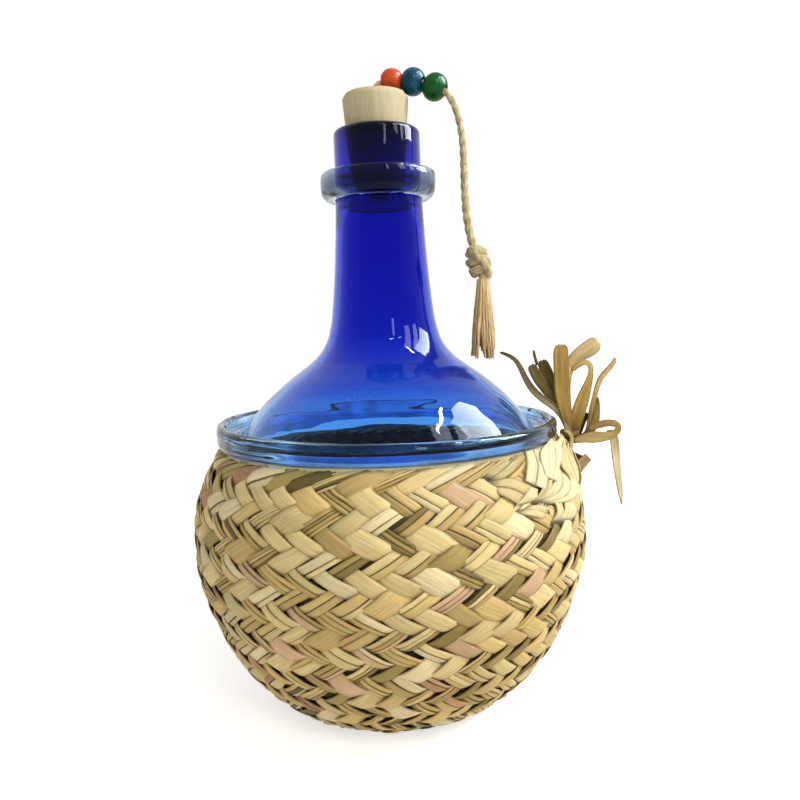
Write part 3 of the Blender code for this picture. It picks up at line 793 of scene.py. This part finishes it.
# %% Lay one strap of one to four leaflets
def add_strap(shape, family, strap, chance):
    kind = chance.choices(strap_kinds, [kind[0] for kind in strap_kinds])[0]
    leaflet_odds, widths, raised, tone_odds = kind[1:]
    leaflets = chance.choices([1, 2, 3, 4], leaflet_odds)[0]
    cuts = sorted(chance.uniform(0.25, 0.75) if leaflets == 2 else
                  (k + chance.uniform(-0.15, 0.15)) / leaflets for k in range(1, leaflets))
    cuts = [0.0, *cuts, 1.0]
    strap_tone = chance.choices(leaf_tones, tone_odds)[0]
    half = chance.uniform(*widths)
    tilt = chance.uniform(0.18, 0.45) * mm * family
    crown = chance.uniform(0.12, 0.30) * mm
    inner = 0.5 * crown / leaflets ** 0.5
    columns = 4 if leaflets == 1 else 3 if leaflets == 2 else 2
    gap = 0.02 if leaflets > 1 else 0.0
    seed = Vector((strap * 3.7, family * 11.3, 0))
    begin = -1.3 if family > 0 else -1.1
    reach = last_level - 1.0 - begin
    tones = {}
    for number, (low, high) in enumerate(zip(cuts, cuts[1:])):
        offset = chance.uniform(-0.12, 0.12) * mm if leaflets > 1 else 0.0
        roll = chance.uniform(-0.16, 0.16) * mm if leaflets > 1 else 0.0

        def place(t, s):
            cross = begin + reach * s
            wander = noise.noise(seed + Vector((0, 0, 0.30 * cross)))
            spread = noise.noise(seed + Vector((7, number, 0.6 * cross)))
            share = low + gap + (high - low - 2 * gap) * t
            open_out = 1.0 + 0.22 * spread
            if family < 0:
                open_out += 0.42 * max(0.0, min(1.0, 1.7 - cross))
            side = half * (2 * share - 1) * open_out + 0.19 * wander
            ripple = noise.noise(seed + Vector((3.0 + number, 5, 0.8 * cross))) * 0.22 * mm
            lift = tilt * (2 * share - 1) + crown * (1 - (2 * share - 1) ** 2)
            lift += inner * (1 - (2 * t - 1) ** 2) + roll * (2 * t - 1) + offset + ripple
            lift += raised * mm * max(0.0, lies_over(family, cross))
            return strap_place(family, strap, side, cross, lift)

        def tone_at(t, s):
            cross = begin + reach * s
            turn_number = math.floor((cross + (1.5 if family < 0 else -0.5)) / 4)
            key = (turn_number, number if leaflets > 1 else 0)
            if key not in tones:
                tone = strap_tone if chance.random() < 0.45 else \
                    chance.choices(leaf_tones, tone_odds)[0]
                shade = chance.uniform(0.82, 1.1)
                tones[key] = [shade * c for c in tone]
            # Painted shade: where a strap dips under the other set, its tone falls towards a
            # tenth, as the shade in the plait's gaps.
            shown = min(1.0, max(0.0, (lies_over(family, cross) + 0.42) / 0.45))
            painted_under_shade = 0.10 + 0.90 * shown * shown * (3 - 2 * shown)
            return [painted_under_shade * c for c in tones[key]]

        width = strap_width / mm * (high - low)
        add_blade(shape, columns, int(reach * 4), place, (width, reach * 5.8),
                  (chance.uniform(0, 400), chance.uniform(0, 400)), tone_at)


# %% Plait the basket
for family, name in ((1, "plait_down_right"), (-1, "plait_down_left")):
    for half in (0, 1):
        shape = new_leaf_shape()
        for strap in range(half * strap_count // 2, (half + 1) * strap_count // 2):
            add_strap(shape, family, strap, random.Random(strap * 2 + (family > 0) + 500))
        finish_leaves(f"{name}_{half + 1}", shape,
                      replaced=["basket_shell"] if family > 0 and half == 0 else [])

# %% [markdown]
# ## The wooden stopper
# The stopper is a short cone of raw, pale wood, turned on a lathe with a small rounding at
# both ends and drilled through for the cord. The grain runs up its side as fine, faint
# lines, and it has no varnish, so it hardly shines.

# %% Raw wood material
wood, tree, surface = new_material("raw_turned_wood")
place = add_node(tree, "TexCoord").outputs["Object"]
stretched = add_node(tree, "Mapping", {"Vector": place, "Scale": (1, 1, 0.06)})
grain = add_node(tree, "TexNoise", {
    "Vector": stretched, "Scale": 900, "Detail": 3, "Roughness": 0.6})
broad = add_node(tree, "TexNoise", {"Vector": stretched, "Scale": 160, "Detail": 2})
colours = add_node(tree, "ValToRGB", {"Fac": grain}, [
    (0.28, "BEAE86"), (0.5, "C7B890"), (0.72, "CFC19B")])
clouded = tone_over(tree, colours, broad, 0.45, 0.75, 0.4, "C2B28C")
bumps = add_node(tree, "Bump", {"Height": grain, "Strength": 0.4, "Distance": 0.2 * mm})
set_sockets(surface, {"Base Color": clouded, "Normal": bumps,
                      "Roughness": 0.7, "Specular IOR Level": 0.25})

# %% Turn the stopper
stopper_top, stopper_low, hole, stopper_steps = 256.8, 219.0, 2.0, 96


def stopper_radius(z):
    return 14.0 - 0.0793 * (stopper_top - z)


outline = [(hole, stopper_low), (stopper_radius(stopper_low) - 0.9, stopper_low),
           (stopper_radius(stopper_low) - 0.25, stopper_low + 0.25),
           (stopper_radius(stopper_low), stopper_low + 0.9)]
outline += [(stopper_radius(z), z) for z in np.linspace(222, 254, 9)]
outline += [(stopper_radius(254.8), 254.7), (stopper_radius(254.8) - 0.15, 255.0),
            (12.7, 256.55), (12.4, 256.75), (12.0, stopper_top), (hole + 0.5, stopper_top),
            (hole, 256.3)]
add_piece("turned_stopper", turned([(r * mm, z * mm) for r, z in outline], stopper_steps),
          wood, "stopper", ["stopper"], sharp=50)

# %% [markdown]
# ## The rim and the foot of the basket
# Where the plait ends at the top, a narrow leaf is laid round inside the last turns as a
# rim. Under the basket the plait began as a small flat mat of straps that cross in pairs;
# its ends spread out into the wall. Both are laid as sheets like the straps.

# %% The rim's leaf
def rim_place(t, s):
    angle = full_turn * s
    wave = noise.noise(on_circle(3, angle, 0)) * 0.35 * mm
    z = (109.9 + 2.3 * t) * mm + wave
    return on_circle(70.55 * mm + 0.35 * mm * (1 - (2 * t - 1) ** 2), angle,
                     z - rim_sag(angle, z))


shape = new_leaf_shape()
add_blade(shape, 3, 240, rim_place, (2.4, 440), (0, 0), lambda t, s: linear("E2D3A0"))
bmesh.ops.remove_doubles(shape, verts=shape.verts, dist=same_spot)
finish_leaves("rim_leaf", shape)

# %% The mat under the foot
chance = random.Random(77)
mat_radius, mat_pitch, mat_strap = 25.0, 6.2, 5.8
shape = new_leaf_shape()
for family in (0, 1):
    for number in range(-4, 5):
        off = number * mat_pitch * 0.98
        half_long = math.sqrt(max(0.0, mat_radius ** 2 - off ** 2))
        if half_long < 6:
            continue
        tone = chance.choices(leaf_tones, common_tones)[0]
        slide = chance.uniform(-0.4, 0.4)

        def place(t, s):
            run = (2 * s - 1) * half_long
            aside = off + slide + (t - 0.5) * mat_strap
            phase = math.pi / 2 * (run / mat_pitch + number + 2 * family + 0.5)
            drop = 0.5 * math.cos(phase) + 0.15 * (2 * t - 1)
            height = 1.35 - drop + 0.5 * abs(2 * s - 1) ** 6
            return Vector((run, aside, height) if family == 0 else (aside, run, height)) * mm

        add_blade(shape, 3, 40, place, (mat_strap, 2 * half_long),
                  (chance.uniform(0, 300), chance.uniform(0, 300)), lambda t, s: tone)
finish_leaves("foot_mat", shape)

# %% [markdown]
# ## The tuft
# Where the plait ends, its last straps are gathered at one place of the rim, bound round,
# and left to stand out as a tuft. Each free end is a curved strap of leaf with its own
# bend, so each gets a line of points with a width. The line is smoothed, and the strap
# gets a bowed section, a slight twist and a tip that is pointed or rounded.

# %% The free ends, as points (across, back, up) and a width in millimetres
leaf_lines = {
    "long_thin": [("A8986C", "7C6E44", 0.9, 0.5, 0, [
        (81, -3.4, 107.8, 1.8), (79.5, -2.3, 112, 2.3), (78.4, -1.1, 115.6, 3),
        (76.2, 0, 119.6, 3.4), (73.2, 1.1, 122.8, 3.2), (68.9, 2.2, 126.2, 3.2),
        (64.9, 3.4, 130.4, 3.1), (62.2, 4.5, 135, 2.5), (60, 5.6, 140.1, 2),
        (57.9, 6.7, 143.4, 1.6), (53.9, 7.9, 145.9, 1.1), (51.8, 9, 146.6, 0.6)])],
    "olive": [("85753A", "665826", 0.5, -0.2, 1, [
        (82.5, 2.5, 106.8, 1.6), (76.7, 2.7, 119.5, 2.2), (73.9, 2.9, 125, 2.9),
        (70.5, 3.1, 130, 3.9), (67.3, 3.3, 135.4, 4.8), (64.5, 3.5, 140.9, 4.1)]),
        ("7A6A30", "6E5F2C", 0.5, 0.2, 1, [
        (83, 3.5, 106.6, 1.6), (78.6, 3.7, 118.2, 2.2), (75.4, 3.9, 125.9, 3.2),
        (73.7, 4.1, 131.9, 4.4), (71.4, 4.3, 137.9, 5.1), (69.4, 4.5, 142.7, 4.4)]),
        ("6E5F2C", "5E5024", 0.2, 0.1, 0, [
        (67.3, 3, 140.8, 1.2), (66.1, 3.2, 144.6, 1.1), (65.8, 3.5, 147.3, 0.7)])],
    "broad": [("B48E48", "D0AA5C", 1.1, 0.15, 1, [
        (82.1, -1.2, 107.4, 2.6), (79.7, -1.4, 115.6, 4.3), (78.1, -1.6, 122.1, 5.8),
        (77.1, -1.8, 128.6, 6.8), (76.7, -2.1, 134.5, 6.5), (76.5, -2.3, 139.8, 6.3),
        (76.4, -2.5, 145.1, 6.3), (76.7, -2.7, 149.7, 5.4)])],
    "back": [("BE9F62", "DEC488", 0.7, -0.1, 1, [
        (83.7, 4.6, 106.4, 2.1), (81.3, 4.9, 120.1, 3.1), (80.6, 5.1, 131, 3.6),
        (81.4, 5.4, 137.5, 4.4), (83.9, 5.6, 142.2, 5.5), (87.2, 5.9, 144.9, 6.4),
        (91.4, 6.1, 147.3, 7.2), (95.2, 6.4, 150.3, 6.5)])],
    "loop": [("BC964C", "D6B264", 0.9, 0.3, 1, [
        (82.7, 0, 107.7, 3.4), (83, 0, 113.7, 4.9), (84.6, 0.1, 119.5, 5.8),
        (86.4, 0.1, 124.8, 5.7), (88.3, 0.2, 130.1, 4.1), (89.9, 0.2, 134.9, 2.6),
        (90.3, 0.2, 138, 2.1), (89.5, 0.3, 140.8, 2.1), (87.1, 0.3, 141.5, 1.9),
        (84.4, 0.4, 140.1, 1.8), (81.7, 0.4, 138.3, 1.8)]),
        ("E8CE86", "D8BA6A", 0.4, 0, 0, [
        (79.7, -1.5, 141.2, 1.6), (80.2, -1.6, 138, 1.8), (80.3, -1.8, 134.3, 1.5)])],
    "wavy": [("A88640", "CDB478", 0.8, 0.4, 0, [
        (84.9, 1.2, 107.4, 2.1), (88.5, 1.5, 110, 2.3), (89.9, 1.8, 113.7, 2.5),
        (90.9, 2.1, 119, 2.6), (92.1, 2.4, 124.4, 2.6), (93.6, 2.8, 129.7, 2.6),
        (95.9, 3.1, 134.4, 2.9), (99.2, 3.4, 138.1, 2.6), (101.5, 3.7, 140.9, 1.9),
        (102, 4, 142.6, 0.6)])],
    "short": [("BA9C5A", "8E7440", 0.6, 0.2, 0, [
        (84.5, -2.3, 107.7, 2.1), (88.8, -2.4, 110.8, 3.2), (90.8, -2.6, 114.3, 3.6),
        (91.7, -2.7, 118.5, 3.1), (92.2, -2.9, 122.8, 1.9), (92.2, -3, 126.1, 0.4)])],
    "dark": [("4A2F1C", "3A2414", 0.6, 0, 1, [
        (84.9, 3.5, 107.6, 1.6), (86.9, 3.5, 113, 2.2), (88.6, 3.5, 117, 2.4),
        (89.6, 3.5, 118.5, 2.1)])],
    "curl": [("DCBE7C", "A88850", 0.9, 0.2, 1, [
        (81.2, -5.7, 107.9, 2.1), (85.2, -5.7, 108.8, 3.7), (90, -5.7, 109.1, 4.8),
        (94.7, -5.7, 109.3, 3.9), (98, -5.7, 110.2, 3), (100.3, -5.7, 112, 2.4),
        (99.8, -5.7, 114.1, 2.6), (96.4, -5.7, 115.1, 3), (92.1, -5.7, 114.5, 3.2),
        (87.4, -5.7, 113.1, 2.3)])],
    "hanging": [("E2CA94", "F2E4B8", 0.5, 0.1, 0, [
        (95.6, -4.5, 110.6, 2.6), (98.3, -4.5, 110, 3.2), (99.1, -4.5, 106.7, 3.9),
        (99.6, -4.5, 101.3, 3.7), (100.2, -4.5, 94.8, 3.2), (100.9, -4.5, 89.4, 2.7),
        (101.6, -4.5, 83.3, 1.9), (102.2, -4.5, 78.5, 0.4)])],
    "thin_ring": [("DECA8E", "D0BC7C", 0.4, 0, 0, [
        (75.9, -8.3, 113.1, 1.1), (78.2, -8.3, 112.1, 1.5), (79.4, -8.3, 109.2, 1.5),
        (79, -8.3, 105.5, 1.3)])],
    "stub": [("DCC592", "C2A270", 1, 0, 0, [
        (79.4, -1.2, 85.5, 3.4), (81, -1.2, 90, 4.2), (83.8, -1.4, 95, 4.6),
        (86.4, -1.6, 98, 4.4), (88.4, -1.8, 99.8, 3.8)]),
        ("6A4A2C", "50341E", 1, 0, 0, [
        (79, 1.2, 88, 3), (81.2, 1, 93.5, 4), (83.6, 0.8, 98, 4.6), (84.9, 0.6, 100.6, 4.2)])],
}


# %% Shape one free end
def add_leaf(shape, rows, low_tone, high_tone, bow, twist, blunt, seed):
    """A strap with its width across the line and its bow towards the front."""
    step = 0.8
    rows = even_line(smooth_line(rows, 6), step)
    middles = [Vector(row[:3]) * mm for row in rows]
    last = len(middles) - 1
    low_tone, high_tone = linear(low_tone), linear(high_tone)

    def place(t, s):
        k = round(s * last)
        along = middles[min(k + 1, last)] - middles[max(k - 1, 0)]
        across = Vector((along.z, 0, -along.x)).normalized()
        out = along.cross(across).normalized()
        turn_by = Matrix.Rotation(twist * math.sin(2.4 * s + seed), 3, along)
        wide = rows[k][3] * mm
        to_tip = (last - k) * step / (0.45 * rows[k][3])
        if blunt and to_tip < 1:
            wide *= 0.45 + 0.55 * math.sqrt(1 - (1 - to_tip) ** 2)
        side = (t - 0.5) * wide
        depth = bow * mm * (0.25 - (t - 0.5) ** 2) * 2.6
        fold = -0.5 * mm * bow * math.exp(-((t - 0.5) / 0.12) ** 2)
        ripple = 0.3 * mm * noise.noise(Vector((seed * 9, t * 2.5, s * 5)))
        return middles[k] + turn_by @ (across * side + out * (depth + fold + ripple))

    def tone_at(t, s):
        # Painted shade: each free end is darker towards its foot, where the leaves crowd
        # together.
        shade = (0.7 + 0.3 * min(1.0, s * 2.5)) * \
            (0.97 + 0.3 * noise.noise(Vector((seed * 5, t * 3, s * 3))))
        return [shade * (a + (b - a) * s) for a, b in zip(low_tone, high_tone)]

    add_blade(shape, 6, last, place, (rows[:, 3].max(), last * step),
              (seed * 37, seed * 11), tone_at)


# %% Make the free ends
for number, (name, parts) in enumerate(leaf_lines.items()):
    shape = new_leaf_shape()
    for k, (low_tone, high_tone, bow, twist, blunt, rows) in enumerate(parts):
        add_leaf(shape, rows, low_tone, high_tone, bow, twist, blunt, 1.0 + number + k * 0.3)
    finish_leaves(f"free_end_{name}", shape, [f"leaf_{name}"])

# %% The binding round the tuft's foot
shape = new_leaf_shape()
for number, (low, lean, tone) in enumerate([
        (-1.9, 0.5, "6A5230"), (-0.3, -0.4, "54401F"), (1.2, 0.4, "7A6036")]):
    def place(t, s):
        angle = full_turn * s
        wide = 1.0 - 0.06 * math.cos(math.pi * (low / 3.0 + t * 0.4))
        spot = Vector((3.7 * math.cos(angle) * wide, 5.4 * math.sin(angle) * wide,
                       low + 2.0 * (t - 0.5) + lean * math.cos(angle)))
        return (spot + Vector((80.4, 0, 109.6))) * mm

    add_blade(shape, 3, 48, place, (2, 30), (number * 20, 0), lambda t, s: linear(tone))
bmesh.ops.remove_doubles(shape, verts=shape.verts, dist=same_spot)
finish_leaves("wound_binding", shape, ["tuft_binding"])

# %% [markdown]
# ## The gathered straps
# At the foot of the tuft the last straps leave the plait and run together under the
# binding. They are paler than the rest and lie over each other like a fan. Each is a sheet
# between two edges. A row gives a turn from the front and a height for one edge, the same
# for the other edge, and how far the strap stands off the basket's side.

# %% The gathered straps, in degrees and millimetres
gathered = [
    ("CFC084", 2, [(34.9, 110.8, 39.9, 110, 0.9), (30.5, 109.5, 34.9, 106.7, 1.1),
                   (24.8, 105.9, 27.6, 103.5, -1)]),
    ("E2C98D", 2, [(27.5, 102.3, 24, 104.6, -1), (30.3, 99.8, 34.5, 105, 0.8),
                   (33.4, 97.1, 39.7, 101.9, 0.7), (36, 95, 43, 99.6, -0.8)]),
    ("F2E4AF", 1, [(39.9, 101.1, 42.7, 99.6, 0.7), (35.7, 98.2, 40.6, 97.2, 0.9),
                   (31.3, 94.5, 36.9, 95.3, -1.2)]),
    ("EAD79C", 2, [(36.4, 95.4, 31.2, 94.3, -1.2), (41.9, 94.1, 37.7, 91.6, 0.9),
                   (46.9, 90.4, 46, 86.9, -1.2)]),
    ("F0DEA4", 2, [(48.2, 93.5, 52.2, 92.6, 0.4), (47.2, 89.9, 50.6, 88.9, 1),
                   (44, 85.8, 47.8, 85, -1.2)]),
    ("F0DEA7", 1, [(53.3, 93.6, 58.9, 91.6, 0.4), (51.3, 89.7, 58.5, 87.3, 1.1),
                   (47.6, 84.8, 56, 82, -1.2)]),
    ("DCCB91", 2, [(48.6, 104, 51.9, 102.6, 0.8), (43.4, 99.2, 47.2, 98.2, 1.3),
                   (38, 94.8, 40.6, 94, -1)]),
    ("F4E6B1", 3, [(60, 105, 63.5, 101, 0.6), (50.3, 100.2, 65, 93.9, 1.5),
                   (45.7, 98.1, 57.2, 92.2, 1.5), (38.7, 95.5, 44.4, 93.4, -0.9)]),
    ("F4E6B3", 2, [(46, 112.2, 54.4, 111.8, 0.5), (41.6, 107.5, 51, 105.4, 1.6),
                   (38.8, 103.5, 44.6, 99.2, 1.5)]),
    ("E8D89A", 3, [(82, 109.4, 83.5, 107.6, 2), (67.4, 108.7, 78.5, 105.7, 1.8),
                   (58.7, 104.5, 75, 100.6, 2), (61.1, 99.2, 68.9, 95.4, 1.2),
                   (59, 94, 66, 91, -1.2)]),
    ("F8ECBA", 3, [(62, 113.8, 64, 113.6, 1.9), (50.4, 110.8, 67.3, 109, 2.3),
                   (47.8, 105.6, 57.9, 104.8, 2.3), (47, 103.4, 51.3, 100.4, 2)]),
    ("F0E0A6", 2, [(91.5, 107.5, 86, 107.5, 4.4), (88, 103, 82, 101.5, 3),
                   (84, 97, 77.5, 95, 1.7), (80.5, 91.5, 74.5, 89.5, -1.2)]),
    ("ECDB9C", 1, [(96, 107, 90.5, 107, 4.4), (95.5, 101, 89.5, 100.5, 3),
                   (94.5, 95, 88.5, 94, 1.5), (93.5, 89, 88, 88, -1.2)]),
    ("E4D08F", 2, [(99, 109.5, 96, 106.5, 4), (104.5, 106, 100, 101.5, 2.6),
                   (110.5, 102, 106, 97.5, 1.5), (116.5, 97.5, 112.5, 93.5, -1.2)]),
    ("E6D099", 1, [(97, 111.5, 99, 108.5, 3), (105, 111, 106, 107.3, 2),
                   (113, 109.5, 113, 105.8, 1.4), (121, 107.3, 120, 103.5, -1.2)]),
    ("EADAA0", 2, [(66, 101, 70, 97, -1), (72.5, 104.5, 76, 100.8, 1.8),
                   (79, 106.9, 83, 103.4, 2.6), (86, 109, 89, 105.5, 3.8)]),
    ("F2E4AD", 1, [(63, 111.2, 66, 107.4, 0.4), (72, 111.2, 74, 107.4, 1.4),
                   (80, 111.2, 82, 107.4, 2.2), (87, 111, 88.5, 107.4, 3.6)]),
]

# %% Lay the gathered straps on the basket
def on_wall(turn_by, height, lift):
    """A point off the basket's side, at a turn in degrees from the front to the right."""
    r = line_radius(wall_line, height * mm) + lift * mm
    return on_circle(r, math.radians(turn_by - 90), height * mm)


chance = random.Random(31)
shape = new_leaf_shape()
for number, (tone, leaflets, rows) in enumerate(gathered):
    rows = smooth_line(rows, 7)
    edges = [(on_wall(a, b, lift), on_wall(c, d, lift)) for a, b, c, d, lift in rows]
    last = len(edges) - 1
    tone = linear(tone)
    for part in range(leaflets):
        low, high = (part + 0.006) / leaflets, (part + 0.994) / leaflets
        shade = chance.uniform(0.82, 0.94)
        offset = chance.uniform(-0.15, 0.15)

        def place(t, s):
            one, other = edges[round(s * last)]
            share = low + (high - low) * t
            spot = one.lerp(other, share)
            out = Vector((spot.x, spot.y, 0.3 * spot.xy.length)).normalized()
            lift = offset + 0.16 * (1 - (2 * t - 1) ** 2)
            lift += 0.35 * noise.noise(Vector((number * 7, share * 2, s * 3)))
            return spot + out * lift * mm

        def tone_at(t, s):
            lift = float(np.interp(s * last, range(last + 1), rows[:, 4]))
            # Painted shade: a strap is darker where its lift is low, where it tucks under the
            # plait.
            ends = min(1.0, max(0.15, 0.55 + lift))
            return [shade * ends * c for c in tone]

        wide = (edges[last // 2][0] - edges[last // 2][1]).length / mm / leaflets
        # These straps are broad and soft, so their dark edge lines, partly cut edge and partly
        # painted shade, show only faintly.
        add_blade(shape, 4, last, place, (wide, last * 1.2),
                  (number * 31 + part * 7, number * 17), tone_at, edge=0.91)
finish_leaves("gathered_straps", shape)

# %% [markdown]
# ## The floor and the light
# The photo's ground is plain white. A white floor is lit like the bottle and keeps its
# soft shadow. A little light of its own, seen only by the eye and in or through the glass,
# takes it to full white, and the sky lights the bottle evenly from all sides.

# %% White surroundings
def seen_by_eye(tree):
    """1 for a ray that the eye gets straight, in gloss or through glass, and 0 for light."""
    rays = add_node(tree, "LightPath")
    seen = rays.outputs["Is Camera Ray"]
    for kind in ("Is Glossy Ray", "Is Transmission Ray"):
        seen = add_node(tree, "Math", {0: seen, 1: rays.outputs[kind]}, operation="ADD",
                        use_clamp=True).outputs[0]
    return seen


world = bpy.data.worlds.new("plain_room")
scene.world = world
tree = empty_tree(world)
strength = add_node(tree, "MapRange", {"Value": seen_by_eye(tree), "To Min": 0.45})
sky = add_node(tree, "Background", {"Color": (1, 1, 1, 1), "Strength": strength})
add_node(tree, "OutputWorld", {"Surface": sky})

# %% The floor
shape = bmesh.new()
bmesh.ops.create_circle(shape, cap_ends=True, segments=64, radius=4)
ground = bpy.data.materials.new("white_paper")
floor = new_object("floor", shape, ground)
tree = empty_tree(ground)
floor_glow = 0.62
glow = add_node(tree, "Math", {0: seen_by_eye(tree), 1: floor_glow}, operation="MULTIPLY")
paper = add_node(tree, "BsdfDiffuse", {"Color": rgba("F2F2F2")})
light = add_node(tree, "Emission", {"Strength": glow})
both = add_node(tree, "AddShader", {0: paper, 1: light})
add_node(tree, "OutputMaterial", {"Surface": both})

# %% [markdown]
# ## The windows
# The photo's glass mirrors a tall window in three panes, with bars above and below it, as
# sharp pale patches. A lamp that only gloss sees makes such a patch. Its direction was
# found by reflecting the line of sight off the glass at the patch. Two more lamps that
# gloss doesn't see light the bottle, so light and mirror images are set one by one.

# %% Lamps for the windows
lamp_distance = 1.5
bottle_middle = Vector((0, 0, 0.13))


def add_window(name, turn_by, rise, width, tall, lean, strength, seen_in_gloss=True):
    """A lamp at a turn to the right, with its rise, size and lean in degrees too.

    A window in the gloss is given a brightness, 1 being white, and a light its watts.
    """
    around, rise = math.radians(turn_by), math.radians(rise)
    towards = Vector((math.sin(around) * math.cos(rise), -math.cos(around) * math.cos(rise),
                      math.sin(rise)))
    across, high = (2 * lamp_distance * math.tan(math.radians(a / 2)) for a in (width, tall))
    lamp = bpy.data.lights.new(name, "AREA")
    lamp.shape = "RECTANGLE"
    lamp.size, lamp.size_y = across, high
    lamp.energy = strength * (math.pi * across * high if seen_in_gloss else 1.0)
    if seen_in_gloss:
        lamp.color = (0.86, 0.95, 1.0)
    holder = bpy.data.objects.new(name, lamp)
    scene.collection.objects.link(holder)
    leaned = Matrix.Rotation(math.radians(lean), 3, "Z")
    holder.matrix_world = (towards.to_track_quat("Z", "Y").to_matrix() @ leaned).to_4x4()
    holder.matrix_world.translation = bottle_middle + towards * lamp_distance
    holder.visible_glossy = seen_in_gloss
    holder.visible_diffuse = not seen_in_gloss
    holder.visible_transmission = False


for window in [
        ("window_wide", 96.4, 37.2, 25, 35, -4, 30), ("window_middle", 74, 35, 8, 30, -15, 14),
        ("window_left", 56, 41, 11, 37, -14, 14),
        ("window_top_bar", 73, 58.4, 19, 1.9, 19, 110),
        ("window_streak", 21, 26.5, 5, 14, 0, 18), ("window_sill", 26, 38, 24, 1.8, -10, 60),
        ("light_right", 76, 40, 15, 15, 0, 17, False),
        ("light_front", 20, 38, 24, 24, 0, 5, False)]:
    add_window(*window)
print("windows", [lamp.name for lamp in bpy.data.lights])

# %% Finish
scene.view_settings.view_transform = "Standard"
